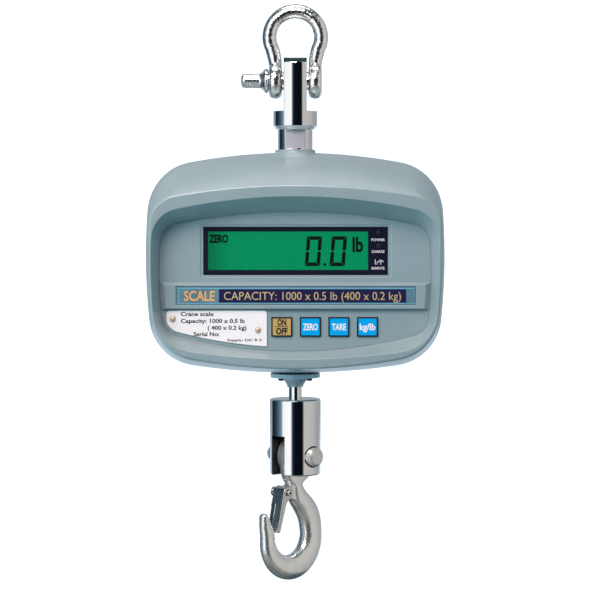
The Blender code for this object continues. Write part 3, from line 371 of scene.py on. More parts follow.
def glowing(name, colour, strength):
    """The back-lit display: a faint fall-off of the light towards its left edge."""
    made = surface(name, colour, 0.25, vary=0.02, bump=0.0)
    tree = made.node_tree
    shader = tree.nodes["Principled BSDF"]
    place = node(tree, "ShaderNodeTexCoord")
    split = node(tree, "ShaderNodeSeparateXYZ")
    fall = node(tree, "ShaderNodeMapRange")
    fall.interpolation_type = "SMOOTHSTEP"
    fall.inputs["From Min"].default_value = (GREEN[0] - 2.0) * MM
    fall.inputs["From Max"].default_value = (GREEN[0] + 22.0) * MM
    ramp = node(tree, "ShaderNodeValToRGB")
    ramp.color_ramp.elements[0].color = (*[c * 0.62 for c in colour], 1.0)
    ramp.color_ramp.elements[1].color = (*colour, 1.0)
    tree.links.new(place.outputs["Object"], split.inputs["Vector"])
    tree.links.new(split.outputs["X"], fall.inputs["Value"])
    tree.links.new(fall.outputs["Result"], ramp.inputs["Fac"])
    tree.links.new(ramp.outputs["Color"], shader.inputs["Base Color"])
    tree.links.new(ramp.outputs["Color"], shader.inputs["Emission Color"])
    shader.inputs["Emission Strength"].default_value = strength
    return made


def finishes():
    return {
        "casing": surface("casing_paint", (0.262, 0.361, 0.376), 0.34, vary=0.03, grain=1400,
                          bump=0.04, coat=0.5),
        "panel": surface("panel_paint", (0.252, 0.355, 0.378), 0.42, vary=0.03, grain=1600,
                         bump=0.05),
        # slot walls: near-black metal, the colour is painted shade inside the clevis slot
        "slot": surface("slot_wall_painted_shade", (0.07, 0.07, 0.07), 0.5, 1.0, vary=0.6, vary_scale=600,
                        grain=900, bump=0.5, spread=0.12),
        "chrome": surface("bright_plate", (0.80, 0.81, 0.82), 0.07, 1.0, vary=0.02, grain=60,
                          bump=0.012, stretch=(0.3, 0.3, 30.0), spread=0.02),
        # flange: its own paint, partly real and partly painted light, lighter and bluer for the
        # light from below
        "flange": surface("flange_paint_with_painted_light", (0.52, 0.66, 0.74), 0.35, vary=0.03, bump=0.03),
        "milled": surface("milled_flat", (0.46, 0.48, 0.51), 0.38, 0.3, vary=0.03, grain=500,
                          bump=0.04, stretch=(8.0, 1.0, 0.3), spread=0.05),
        "bolt": surface("turned_bolt", (0.72, 0.69, 0.64), 0.32, 0.6, vary=0.03, grain=500,
                        bump=0.04),
        "forged": surface("plated_forging", (0.92, 0.91, 0.89), 0.09, 0.97, vary=0.05,
                          vary_scale=160, grain=420, bump=0.42, spread=0.05),
        "satin": surface("satin_forging", (0.86, 0.86, 0.835), 0.22, 0.88, vary=0.05,
                         vary_scale=140, grain=900, bump=0.16, spread=0.06),
        "steel": surface("zinc_plate", (0.66, 0.65, 0.62), 0.22, 1.0, vary=0.06, vary_scale=200,
                         grain=700, bump=0.08, spread=0.08),
        "alloy": surface("machined_alloy", (0.64, 0.70, 0.76), 0.3, 0.5, vary=0.04, grain=600,
                         bump=0.06, stretch=(1.0, 1.0, 12.0)),
        "black": surface("moulded_black", (0.012, 0.012, 0.014), 0.45, grain=1500, bump=0.08,
                         shine=0.25),
        "rubber": surface("rubber", (0.022, 0.022, 0.022), 0.75, grain=900, bump=0.1),
        "navy": surface("window_print", (0.006, 0.007, 0.020), 0.35, grain=800, bump=0.0,
                        shine=0.2),
        "green": glowing("display_green", (0.0, 0.175, 0.064), 0.52),
        "segment": surface("display_segment", (0.001, 0.006, 0.004), 0.5, bump=0.0, shine=0.1),
        "plate": surface("plate_white", (0.94, 0.94, 0.93), 0.35, vary=0.02, bump=0.02),
        "ink": surface("printed_ink", (0.018, 0.018, 0.022), 0.5, bump=0.02, shine=0.2),
        "ink_white": surface("printed_white", (0.88, 0.89, 0.90), 0.45, bump=0.02),
        "ink_gold": surface("printed_gold", (0.56, 0.44, 0.20), 0.4, bump=0.02),
        "ink_orange": surface("printed_orange", (0.85, 0.42, 0.12), 0.4, bump=0.02),
        "strip": surface("brushed_label", (0.13, 0.28, 0.35), 0.4, 0.3, vary=0.22, vary_scale=60,
                         grain=120, bump=0.05, stretch=(0.4, 1.0, 26.0), spread=0.08),
        "strip_navy": surface("label_navy", (0.010, 0.009, 0.058), 0.4, vary=0.05, bump=0.01,
                              shine=0.3),
        "strip_edge": surface("label_edge", (0.20, 0.55, 0.68), 0.3, 0.2, bump=0.01),
        "tan": surface("tan_key", (0.53, 0.37, 0.121), 0.4, vary=0.03, bump=0.03, shine=0.2),
        "cyan": surface("cyan_key", (0.0, 0.385, 0.83), 0.4, vary=0.02, bump=0.03, shine=0.1),
        "board": surface("circuit_board", (0.01, 0.12, 0.045), 0.35, vary=0.15, vary_scale=300,
                         grain=500, bump=0.05),
        "brass": surface("brass_rivet", (0.62, 0.52, 0.38), 0.3, 0.35, vary=0.05, bump=0.03),
        "battery": surface("battery_wrap", (0.02, 0.05, 0.16), 0.35, bump=0.03),
    }


# ---------------------------------------------------------------- mesh helpers
TURNS = {}      # how far each piece is turned about the load line


def piece(name, bm, finish, body, stands_for=(), turn=0.0, crease=35):
    """Put a closed mesh in the scene, riding on its body."""
    bmesh.ops.remove_doubles(bm, verts=bm.verts, dist=0.0004)
    bmesh.ops.recalc_face_normals(bm, faces=bm.faces)
    bm.transform(Matrix.Rotation(turn, 4, "Z") @ Matrix.Scale(MM, 4))
    mesh = bpy.data.meshes.new(name)
    bm.to_mesh(mesh)
    bm.free()
    mesh.shade_smooth()
    mesh.set_sharp_from_angle(angle=math.radians(crease))
    mesh.materials.append(finish)
    made = bpy.data.objects.new(name, mesh)
    bpy.context.scene.collection.objects.link(made)
    if body:
        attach(made, body)
        TURNS[made.name] = turn
    if stands_for:
        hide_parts(*stands_for)
    return made


def shape(target, bm, operation="DIFFERENCE"):
    """Apply a Boolean with a closed mesh, turned as its target is, and drop the tool."""
    tool = piece("tool", bm, target.data.materials[0], None, turn=TURNS[target.name])
    step = target.modifiers.new("shape", "BOOLEAN")
    step.operation = operation
    step.object = tool
    settle(target)
    bpy.data.objects.remove(tool)


def settle(target):
    """Keep the evaluated mesh and drop the modifiers."""
    graph = bpy.context.evaluated_depsgraph_get()
    graph.update()
    mesh = bpy.data.meshes.new_from_object(target.evaluated_get(graph))
    old = target.data
    target.modifiers.clear()
    target.data = mesh
    mesh.name = target.name
    bpy.data.meshes.remove(old)


def soften(target, width, segments=2, angle=40):
    """Round the sharp edges by a small bevel."""
    step = target.modifiers.new("soften", "BEVEL")
    step.width = width * MM
    step.segments = segments
    step.limit_method = "ANGLE"
    step.angle_limit = math.radians(angle)
    step.harden_normals = True
    step.use_clamp_overlap = True
    settle(target)


def blend_forging(target, voxel, rounds):
    """Run joined forms into each other, as a die forging does."""
    step = target.modifiers.new("blend", "REMESH")
    step.mode = "VOXEL"
    step.voxel_size = voxel * MM
    step.use_smooth_shade = True
    ease = target.modifiers.new("ease", "SMOOTH")
    ease.factor = 0.5
    ease.iterations = rounds
    settle(target)
    target.data.shade_smooth()


def repaint(target, finish, test):
    """Give the faces that pass the test another finish."""
    target.data.materials.append(finish)
    number = len(target.data.materials) - 1
    for polygon in target.data.polygons:
        if test(polygon.center / MM, polygon.normal):
            polygon.material_index = number


def even_shading():
    """Large faces set the normals of the roundings beside them."""
    for made in bpy.data.objects:
        if made.type == "MESH" and made.name in TURNS:
            made.modifiers.new("even_shading", "WEIGHTED_NORMAL").keep_sharp = True


def turned(bm, profile, steps, place=None, ring=False):
    work = bmesh.new()
    verts = [work.verts.new((radius, 0.0, height)) for radius, height in profile]
    pairs = list(zip(verts, verts[1:]))
    if ring:
        pairs.append((verts[-1], verts[0]))
    edges = [work.edges.new(pair) for pair in pairs]
    bmesh.ops.spin(work, geom=verts + edges, axis=(0, 0, 1), cent=(0, 0, 0),
                   angle=math.tau, steps=steps, use_merge=True)
    bmesh.ops.remove_doubles(work, verts=work.verts, dist=0.0004)
    work.transform(place or Matrix.Identity(4))
    mesh = bpy.data.meshes.new("turned")
    work.to_mesh(mesh)
    work.free()
    bm.from_mesh(mesh)
    bpy.data.meshes.remove(mesh)


def solid(build, *values, **options):
    """A new mesh from one of the builders here."""
    bm = bmesh.new()
    build(bm, *values, **options)
    return bm


def rod(radius, start, end):
    """The profile of a plain round bar."""
    return [(0, start), (radius, start), (radius, end), (0, end)]


def eased(profile, radius, steps=3, ring=False):
    """A profile with its corners rounded, except where it meets the axis."""
    points = [Vector(point) for point in profile]
    count = len(points)
    result = []
    for k, point in enumerate(points):
        if not ring and k in (0, count - 1):
            result.append(tuple(point))
            continue
        before = points[k - 1]
        after = points[(k + 1) % count]
        reach = min(radius, (before - point).length * 0.45, (after - point).length * 0.45)
        start = point + (before - point).normalized() * reach
        end = point + (after - point).normalized() * reach
        for j in range(steps + 1):
            t = j / steps
            result.append(tuple(start * (1 - t) ** 2 + point * 2 * t * (1 - t) + end * t ** 2))
    return result


def along_x(y, z):
    return Matrix.Translation((0, y, z)) @ Matrix.Rotation(math.pi / 2, 4, "Y")


def along_y(x, z):
    return Matrix.Translation((x, 0, z)) @ Matrix.Rotation(-math.pi / 2, 4, "X")


def block(bm, x_range, y_range, z_range):
    made = bmesh.ops.create_cube(bm, size=1.0)
    size = Vector((x_range[1] - x_range[0], y_range[1] - y_range[0], z_range[1] - z_range[0]))
    middle = Vector((sum(x_range), sum(y_range), sum(z_range))) / 2
    for vertex in made["verts"]:
        vertex.co = Vector([c * s for c, s in zip(vertex.co, size)]) + middle
    return made["verts"]


def skin(bm, loops, ring=False):
    rows = [[bm.verts.new(point) for point in loop] for loop in loops]
    count = len(rows[0])
    pairs = list(zip(rows, rows[1:]))
    if ring:
        pairs.append((rows[-1], rows[0]))
    for first, second in pairs:
        for k in range(count):
            after = (k + 1) % count
            bm.faces.new((first[k], first[after], second[after], second[k]))
    if not ring:
        bm.faces.new(rows[0])
        bm.faces.new(rows[-1])


def layered(bm, rows, ring=False):
    """Outlines (x, z) at their depths, skinned and then capped or closed to a ring."""
    skin(bm, [[(x, depth, z) for x, z in outline] for outline, depth in rows], ring)


def arc(centre, radius, start, end, steps):
    points = []
    for k in range(steps + 1):
        angle = math.radians(start + (end - start) * k / steps)
        points.append((centre[0] + radius * math.cos(angle), centre[1] + radius * math.sin(angle)))
    return points


def rounded_box(x_from, x_to, z_from, z_to, radius, steps=6):
    outline = []
    outline += arc((x_to - radius, z_to - radius), radius, 90, 0, steps)
    outline += arc((x_to - radius, z_from + radius), radius, 0, -90, steps)
    outline += arc((x_from + radius, z_from + radius), radius, -90, -180, steps)
    outline += arc((x_from + radius, z_to - radius), radius, 180, 90, steps)
    return outline


def eased_front(box, y_front, radius, edge):
    """Rows of a rounded plate whose front edge is a quarter round."""
    rows = []
    for turn in (0, 30, 60, 90):
        inset = edge * (1 - math.sin(math.radians(turn)))
        depth = y_front + edge * (1 - math.cos(math.radians(turn)))
        outline = rounded_box(box[0] + inset, box[1] - inset, box[2] + inset, box[3] - inset,
                              max(radius - inset, 0.2))
        rows.append((outline, depth))
    return rows


def slab(bm, box, y_front, y_back, radius, edge):
    """A rounded plate with an eased front edge."""
    layered(bm, eased_front(box, y_front, radius, edge) + [(rounded_box(*box, radius), y_back)])


def catmull(rows, steps):
    """Rows of numbers, made smooth and denser."""
    spots = [Vector(row) for row in rows]
    spots = [spots[0] * 2 - spots[1]] + spots + [spots[-1] * 2 - spots[-2]]
    path = []
    for a, b, c, d in zip(spots, spots[1:], spots[2:], spots[3:]):
        for k in range(steps):
            t = k / steps
            path.append(0.5 * (2 * b + (c - a) * t + (2 * a - 5 * b + 4 * c - d) * t ** 2
                               + (3 * b - 3 * c + d - a) * t ** 3))
    path.append(spots[-2])
    return path


def sweep(bm, path, radii, sides):
    points = [Vector(point) for point in path]
    tangents = []
    for k in range(len(points)):
        before = points[max(k - 1, 0)]
        after = points[min(k + 1, len(points) - 1)]
        tangents.append((after - before).normalized())
    side = tangents[0].orthogonal().normalized()
    loops = []
    for point, tangent, radius in zip(points, tangents, radii):
        side = (side - tangent * side.dot(tangent)).normalized()
        up = tangent.cross(side)
        loop = []
        for k in range(sides):
            angle = math.tau * k / sides
            loop.append(point + (side * math.cos(angle) + up * math.sin(angle)) * radius)
        loops.append(loop)
    skin(bm, loops)


# ---------------------------------------------------------------- lettering
def lettering(name, text, x, z, y_front, height, finish, body, width=None, bold=0.0,
              align="LEFT", slant=0.0):
    """Raised print on a face towards -Y. height is that of a capital; width fits the line."""
    curve = bpy.data.curves.new(name, "FONT")
    curve.body = text
    curve.size = 1.0
    curve.offset = bold
    curve.extrude = 0.5
    curve.resolution_u = 3
    curve.shear = slant
    thing = bpy.data.objects.new(name + "_curve", curve)
    bpy.context.scene.collection.objects.link(thing)
    graph = bpy.context.evaluated_depsgraph_get()
    graph.update()
    mesh = bpy.data.meshes.new_from_object(thing.evaluated_get(graph))
    bpy.data.objects.remove(thing)
    bpy.data.curves.remove(curve)
    capital = 0.70
    left = min(v.co.x for v in mesh.vertices)
    right = max(v.co.x for v in mesh.vertices)
    tall = height / capital
    wide = (width / (right - left)) if width else tall
    start = {"LEFT": 0.0, "CENTER": -0.5, "RIGHT": -1.0}[align] * (right - left) * wide
    bm = bmesh.new()
    bm.from_mesh(mesh)
    bpy.data.meshes.remove(mesh)
    thick = 0.06
    for vertex in bm.verts:
        across, up, out = vertex.co
        vertex.co = (x + start + (across - left) * wide, y_front + thick * (0.5 - out),
                     z + up * tall)
    return piece(name, bm, finish, body)


def digit_zero(bm, x, z, width, height, stroke, lean):
    """The six lit bars of a seven-segment 0, with mitred ends and thin gaps."""
    gap = 0.12
    half = height / 2
    waist = half - gap - stroke * 0.35

    def bar(points):
        row = [(x + across + lean * up / height, z + up) for across, up in points]
        layered(bm, [(row, GLASS_Y - 0.05), (row, GLASS_Y + 0.05)])

    bar([(gap, height), (width - gap, height), (width - stroke - gap, height - stroke),
         (stroke + gap, height - stroke)])
    bar([(gap, 0), (stroke + gap, stroke), (width - stroke - gap, stroke), (width - gap, 0)])
    left = [(0, gap + 0.2), (0, waist), (stroke / 2, half - gap), (stroke, waist),
            (stroke, gap + stroke)]
    for lower in (left, [(width - across, up) for across, up in reversed(left)]):
        bar(lower)
        bar([(across, height - up) for across, up in reversed(lower)])


# ---------------------------------------------------------------- casing
def corner_centre(centre_a, radius_a, centre_b, radius_b, radius):
    a = Vector(centre_a)
    b = Vector(centre_b)
    reach_a = radius_a - radius
    reach_b = radius_b - radius
    line = b - a
    length = line.length
    step = (reach_a ** 2 - reach_b ** 2 + length ** 2) / (2 * length)
    height = math.sqrt(reach_a ** 2 - step ** 2)
    along = line / length
    across = Vector((-along.y, along.x))
    return max((a + along * step + across * height, a + along * step - across * height),
               key=lambda point: point.x)


def casing_outline(section, inset=0.0, parts=14):
    """Closed (x, z) outline of five tangent arcs a side, from the top round by +X."""
    crown = section.crown - inset
    side = section.side - inset
    belly = section.belly - inset
    upper = section.upper - inset
    lower = section.lower - inset
    top = (0.0, section.top - inset - crown)
    middle = (section.half_width - inset - side, section.wide_z)
    bottom = (0.0, section.bottom + inset + belly)
    high = corner_centre(top, crown, middle, side, upper)
    low = corner_centre(bottom, belly, middle, side, lower)

    def heading(start, end):
        return math.atan2(end[0] - start[0], end[1] - start[1])

    turns = [0.0, heading(top, high), heading(middle, high), heading(middle, low),
             heading(bottom, low), math.pi]
    arcs = [(top, crown), (high, upper), (middle, side), (low, lower), (bottom, belly)]
    right = []
    for (centre, radius), start, end in zip(arcs, turns, turns[1:]):
        for k in range(parts):
            angle = start + (end - start) * k / parts
            right.append((centre[0] + radius * math.sin(angle),
                          centre[1] + radius * math.cos(angle)))
    right.append((0.0, section.bottom + inset))
    left = [(-x, z) for x, z in reversed(right[1:-1])]
    return right + left


def casing_loop(section, inset, depth):
    return [(x, depth, z) for x, z in casing_outline(section, inset)]


def between(first, second, share):
    return Section(*[a + (b - a) * share for a, b in zip(first, second)])


def front_section(depth):
    return between(CREST, BEZEL_OUTER, (depth / BEZEL_Y) ** 1.6)


def rounding(radius, steps=4):
    """(inset, setback) pairs of a quarter round, from the side to the face."""
    pairs = []
    for k in range(steps + 1):
        angle = math.pi / 2 * k / steps
        pairs.append((radius * (1 - math.cos(angle)), radius * (1 - math.sin(angle))))
    return pairs


def load_line_cut(bm):
    turned(bm, rod(15.4, -105.0, -135.0), 64)
    turned(bm, rod(9.0, -292.0, -315.0), 40)


def crest(bm, side):
    """Half of the raised ring round the upper column, on one casing half."""
    rows = []
    for radius, z in ((24.0, -125.0), (21.0, -120.4), (19.0, -118.0), (17.8, -116.5),
                      (17.4, -115.4), (17.4, -114.2), (17.1, -113.85), (16.6, -113.75)):
        half = []
        for k in range(25):
            angle = math.pi * k / 24
            half.append((radius * math.cos(angle), side * (PARTING + radius * math.sin(angle)), z))
        rows.append(half)
    skin(bm, rows)


def front_casing(look):
    seat = PANEL_BACK + 0.3
    rows = [(front_section(-PARTING), 0.5, -PARTING)]
    for depth in (-1.3, -4, -8, -12, -16, -20, -24, -28, -32, -36, -40, -44, -48, -52, -56, -59):
        rows.append((front_section(depth), 0.0, depth))
    for inset, setback in rounding(1.6):
        rows.append((front_section(BEZEL_Y + setback), inset, BEZEL_Y + setback))
    for inset, setback in reversed(rounding(0.7, 3)):
        rows.append((BEZEL_INNER, -inset, BEZEL_Y + setback))
    for share, depth in ((0.25, -58.0), (0.5, -53.5), (0.75, -48.7), (1.0, PANEL_Y)):
        rows.append((between(BEZEL_INNER, PANEL_EDGE, share), 0.0, depth))
    rows += [(PANEL_EDGE, 0.0, seat), (PANEL_EDGE, 4.0, seat), (PANEL_EDGE, 4.0, seat + 2.5),
             (PANEL_EDGE, -2.5, seat + 2.5), (between(PANEL_EDGE, BEZEL_INNER, 0.53), -2.3, -54.0),
             (front_section(-54.0), 2.6, -53.0)]
    for depth in (-40, -28, -16, -8, -PARTING):
        rows.append((front_section(depth), 3.0, depth))
    bm = solid(skin, [casing_loop(*row) for row in rows], ring=True)
    casing = piece("casing_front", bm, look["casing"], "housing", ["front_housing"])
    shape(casing, solid(crest, -1), "UNION")
    bm = bmesh.new()
    load_line_cut(bm)
    for x in FLANGE_SCREWS_X:
        turned(bm, rod(1.9, -300, -312), 16, Matrix.Translation((x, FLANGE_SCREW_Y, 0)))
    shape(casing, bm)
    casing.data.set_sharp_from_angle(angle=math.radians(38))


def rear_casing(look):
    """A rounded back with four screw wells and the jack's hole."""
    outer = [(BACK_Y, 20.0)]
    for k in range(1, 8):
        angle = math.pi / 2 * k / 8
        outer.append((46.5 + 5.5 * math.cos(angle), 20.0 - 8.4 * math.sin(angle)))
    outer += [(45.0, 10.4), (42.0, 8.6), (38.0, 6.5), (33.0, 4.55), (28.0, 3.0), (22.0, 1.6),
              (16.0, 0.75), (10.0, 0.25), (5.0, 0.05), (1.3, 0.0), (PARTING, 0.5)]
    inner = [(PARTING, 3.0), (10, 3.3), (21, 4.8), (30, 7.2), (37, 10.0), (43, 13.8), (46, 17.0),
             (BACK_Y - 3.0, 21.0)]
    bm = solid(skin, [casing_loop(CREST, inset, depth) for depth, inset in outer + inner])
    casing = piece("casing_rear", bm, look["casing"], "housing", ["rear_cover"])
    shape(casing, solid(crest, 1), "UNION")
    bm = bmesh.new()
    for x, z in SCREW_POINTS:
        turned(bm, rod(6.2, 50.5, PARTING), 28, along_y(x, z))
    shape(casing, bm, "UNION")
    bm = bmesh.new()
    load_line_cut(bm)
    for x, z in SCREW_POINTS:
        bore = [(0, -2.0), (2.1, -2.0), (2.1, 11.0), (4.1, 11.0), (4.1, 55.0), (0, 55.0)]
        turned(bm, bore, 28, along_y(x, z))
    for x in DOOR_SCREWS_X:
        turned(bm, rod(1.9, 45.0, 55.0), 16, along_y(x, DOOR_Z))
    turned(bm, rod(5.7, 45.0, 55.0), 32, along_y(*JACK))
    block(bm, (-48.7, 48.7), (45.0, 55.0), (DOOR_Z - 29.6, DOOR_Z + 29.6))
    shape(casing, bm)
    casing.data.set_sharp_from_angle(angle=math.radians(38))

    def door_row(half_width, half_height, radius, depth):
        return (rounded_box(-half_width, half_width, DOOR_Z - half_height, DOOR_Z + half_height,
                            radius), depth)

    door_front = BACK_Y + 0.3
    rows = [door_row(60, 33, 5.0, door_front), door_row(60, 33, 5.0, door_front + 1.2),
            door_row(59.6, 32.6, 4.6, door_front + 1.6),
            door_row(49.6, 32.2, 4.4, door_front + 1.6),
            door_row(49, 32, 4.0, door_front + 2.2), door_row(49, 32, 4.0, PAD_Y - 0.8),
            door_row(48.7, 31.7, 3.7, PAD_Y - 0.25), door_row(48, 31, 3.0, PAD_Y)]
    bm = solid(layered, rows)
    door = piece("door_plate", bm, look["casing"], "housing", ["battery_door"])
    bm = bmesh.new()
    for x in DOOR_SCREWS_X:
        turned(bm, rod(1.9, 50.0, 60.0), 20, along_y(x, DOOR_Z))
    for k in range(5):
        z = DOOR_Z + 12.0 - 3.4 * k
        block(bm, (-16, 16), (PAD_Y - 0.7, PAD_Y + 2.0), (z - 0.6, z + 0.6))
    shape(door, bm)


# ---------------------------------------------------------------- front panel
def front_panel(look):
    play = 0.06
    rows = [(casing_outline(PANEL_EDGE, play + inset), PANEL_Y + setback)
            for inset, setback in reversed(rounding(0.25, 2))]
    rows.append((casing_outline(PANEL_EDGE, play), PANEL_BACK))
    bm = solid(layered, rows)
    panel = piece("panel_plate", bm, look["panel"], "housing", ["front_panel"])

    # the raised bar slopes to the side walls and has a narrow bevel above
    foot, face = [[Vector(point) for point in box] for box in (BAR_FOOT, BAR_FACE)]
    rows = [(foot, PANEL_Y + 0.5), (foot, PANEL_Y - 0.1)]
    for share, depth in ((0.80, PANEL_Y - 2.85), (0.93, PANEL_Y - 3.3), (1.04, PANEL_Y - 3.4)):
        rows.append(([a.lerp(b, share) for a, b in zip(foot, face)], depth))
    shape(panel, solid(layered, rows), "UNION")

    bm = bmesh.new()
    for k in range(4):
        x = KEY_FIRST_X + KEY_PITCH * k
        block(bm, (x - 9.0, x + 9.0), (-48.0, -39.0), (KEY_Z - 8.4, KEY_Z + 8.4))
    low, high = [
        rounded_box(STRIP[0] - edge, STRIP[1] + edge, STRIP[2] - edge, STRIP[3] + edge, 0.4)
        for edge in (0.3, 1.1)]
    layered(bm, [(high, -50.0), (high, -47.35), (low, -46.5), (low, -45.9)])
    shape(panel, bm)

    brim, frame_box, lip, opening = [
        rounded_box(WINDOW[0] - left, WINDOW[1] + right, WINDOW[2] - down, WINDOW[3] + up, radius)
        for left, right, down, up, radius in (
            (3.0, 3.6, 2.7, 2.2, 1.8), (2.3, 2.9, 2.0, 1.5, 1.1), (0.3, 0.3, 0.3, 0.3, 0.6),
            (-2.0, -2.0, -2.0, -2.0, 0.6))]
    rows = [(brim, PANEL_Y - 1.0), (brim, PANEL_Y - 0.05), (frame_box, PANEL_Y + 0.65),
            (lip, PANEL_Y + 0.75), (lip, -41.8), (opening, -41.8), (opening, -39.0)]
    shape(panel, solid(layered, rows))
    panel.data.set_sharp_from_angle(angle=math.radians(14))


def display(look):
    """Navy window print round a green back-lit glass with its lit segments."""
    bm = solid(slab, WINDOW, -43.3, -42.4, 0.8, 0.1)
    window = piece("window_print", bm, look["navy"], "housing", ["display_window"],
                   crease=12)
    shape(window, solid(block, GREEN[:2], (-50, -40), GREEN[2:]))
    bm = solid(block, (GREEN[0] + 0.05, GREEN[1] - 0.05), (GLASS_Y, -41.5),
               (GREEN[2] + 0.05, GREEN[3] - 0.05))
    piece("display_glass", bm, look["green"], "housing", ["lcd_glass"])

    bm = bmesh.new()
    for x in (8.0, 29.2):
        digit_zero(bm, x, -213.7, 13.0, 25.4, 3.1, 1.95)
    dot = arc((25.2, -212.4), 1.25, 0, 345, 23)
    layered(bm, [(dot, GLASS_Y - 0.07), (dot, GLASS_Y + 0.05)])
    piece("display_digits", bm, look["segment"], "housing")
    for name, text, x, z, height, width, bold in (
            ("display_zero", "ZERO", -73.4, -193.5, 6.3, 16.4, 0.05),
            ("display_unit", "lb", 48.7, -201.3, 12.3, 9.1, 0.03)):
        lettering(name, text, x, z, GLASS_Y - 0.05, height, look["segment"], "housing",
                  width=width, bold=bold)
    labels = (("label_power", "POWER", -192.4, 11.5), ("label_charge", "CHARGE", -202.4, 11.0),
              ("label_remote", "REMOTE", -216.6, 11.0))
    for name, text, z, width in labels:
        lettering(name, text, LAMP_X - 0.6, z, -43.33, 2.2, look["ink_white"], "housing",
                  width=width, bold=0.01, align="CENTER")
    print_y = (-43.36, -43.28)
    mast_foot = -212.4
    bm = bmesh.new()
    for k, height in enumerate((4.6, 2.6)):
        x = LAMP_X - 3.0 + 1.6 * k
        block(bm, (x - 0.25, x + 0.25), print_y, (mast_foot, mast_foot + height))
    centre = (LAMP_X + 1.6, -211.0)
    for radius in (1.1, 2.4):
        wave = arc(centre, radius + 0.25, 20, 160, 12) + arc(centre, radius - 0.25, 160, 20, 12)
        layered(bm, [(wave, depth) for depth in print_y])
    block(bm, (centre[0] - 0.25, centre[0] + 0.25), print_y, (mast_foot, -210.9))
    piece("remote_symbol", bm, look["ink_white"], "housing")
    for name, node_name, z in zip(("lamp_power", "lamp_charge"), ("power_lamp", "charge_lamp"),
                                  LAMP_HEIGHTS):
        dome = [(0, -43.75), (1.2, -43.65), (1.9, -43.4), (2.1, -43.1), (2.1, -31), (0, -31)]
        bm = solid(turned, dome, 32, along_y(LAMP_X, z))
        piece(name, bm, look["black"], "housing", [node_name])


def keys(look):
    """Printed caps: a dark border, and a legend on each."""
    words = {"zero": ("ZERO", 12.6), "tare": ("TARE", 12.0), "unit": ("kg/lb", 13.4)}
    for k, name in enumerate(("power", "zero", "tare", "unit")):
        x = KEY_FIRST_X + KEY_PITCH * k
        body = "key_" + name
        colour, slot = ("tan", "tan_key") if name == "power" else ("cyan", "blue_key")

        def key_box(half_width, half_height):
            return x - half_width, x + half_width, KEY_Z - half_height, KEY_Z + half_height

        def on_rim(spot, normal):
            return max(abs(spot.x - x) - 8.0, abs(spot.z - KEY_Z) - 7.4) > 0

        rows = eased_front(key_box(8.7, 8.1), -45.8, 1.3, 0.5)
        for box, radius, depths in ((key_box(8.7, 8.1), 1.3, (-40.7,)),
                                    (key_box(9.7, 9.1), 1.0, (-40.7, -39.5)),
                                    (key_box(2.5, 2.5), 0.5, (-39.5, -35.5))):
            rows += [(rounded_box(*box, radius), depth) for depth in depths]
        bm = solid(layered, rows)
        cap = piece("cap_" + name, bm, look[colour], body, ["key_" + name], crease=12)
        repaint(cap, look["ink"], on_rim)
        outer = rounded_box(*key_box(8.2, 7.6), 0.9)
        inner = rounded_box(*key_box(7.7, 7.1), 0.4)
        front, back = LEGEND_Y - 0.02, LEGEND_Y + 0.05
        rows = ((outer, front), (outer, back), (inner, back), (inner, front))
        bm = solid(layered, rows, ring=True)
        piece("border_" + name, bm, look["ink"], body)
        if name == "power":
            for legend, text, rise, width in (("legend_on", "ON", 1.4, 7.6),
                                              ("legend_off", "OFF", -6.2, 9.8)):
                lettering(legend, text, x, KEY_Z + rise, LEGEND_Y, 5.2, look["ink"], body,
                          width=width, bold=0.045, align="CENTER")
            bm = solid(block, (x - 5.5, x + 5.5), (LEGEND_Y - 0.03, LEGEND_Y + 0.03),
                       (KEY_Z + 0.05, KEY_Z + 0.65))
            piece("legend_line", bm, look["ink"], body)
        else:
            text, width = words[name]
            lettering("legend_" + name, text, x, KEY_Z - 2.6, LEGEND_Y, 5.4, look["ink_white"],
                      body, width=width, bold=0.03, align="CENTER")


def label_strip(look):
    """Brushed blue metal with a navy field and generic capacity lettering."""
    bm = solid(slab, STRIP, -46.85, -46.2, 0.5, 0.25)
    piece("strip_metal", bm, look["strip"], "housing", ["label_strip"], crease=12)
    low, high = STRIP[2] + 1.7, STRIP[3] - 1.7
    bm = solid(block, (-64.9, 94.3), (STRIP_PRINT[0] - 0.01, STRIP_PRINT[1]), (low, high))
    piece("strip_field", bm, look["strip_navy"], "housing")
    bm = bmesh.new()
    for start, end, base, top in ((0.6, STRIP[1] - STRIP[0] - 0.6, high + 0.35, high + 1.15),
                                  (0.6, STRIP[1] - STRIP[0] - 0.6, low - 1.15, low - 0.55),
                                  (1.4, 2.1, low - 0.3, high - 0.2)):
        block(bm, (STRIP[0] + start, STRIP[0] + end), STRIP_PRINT, (base, top))
    piece("strip_edges", bm, look["strip_edge"], "housing")
    lettering("strip_title", "SCALE", -94.6, -243.0, -46.88, 8.2, look["ink_orange"], "housing",
              width=26.2, bold=0.02)
    lettering("strip_capacity", "CAPACITY: 1000 x 0.5 lb (400 x 0.2 kg)", -60.6, -242.4, -46.94,
              7.0, look["ink_gold"], "housing", width=150.5)


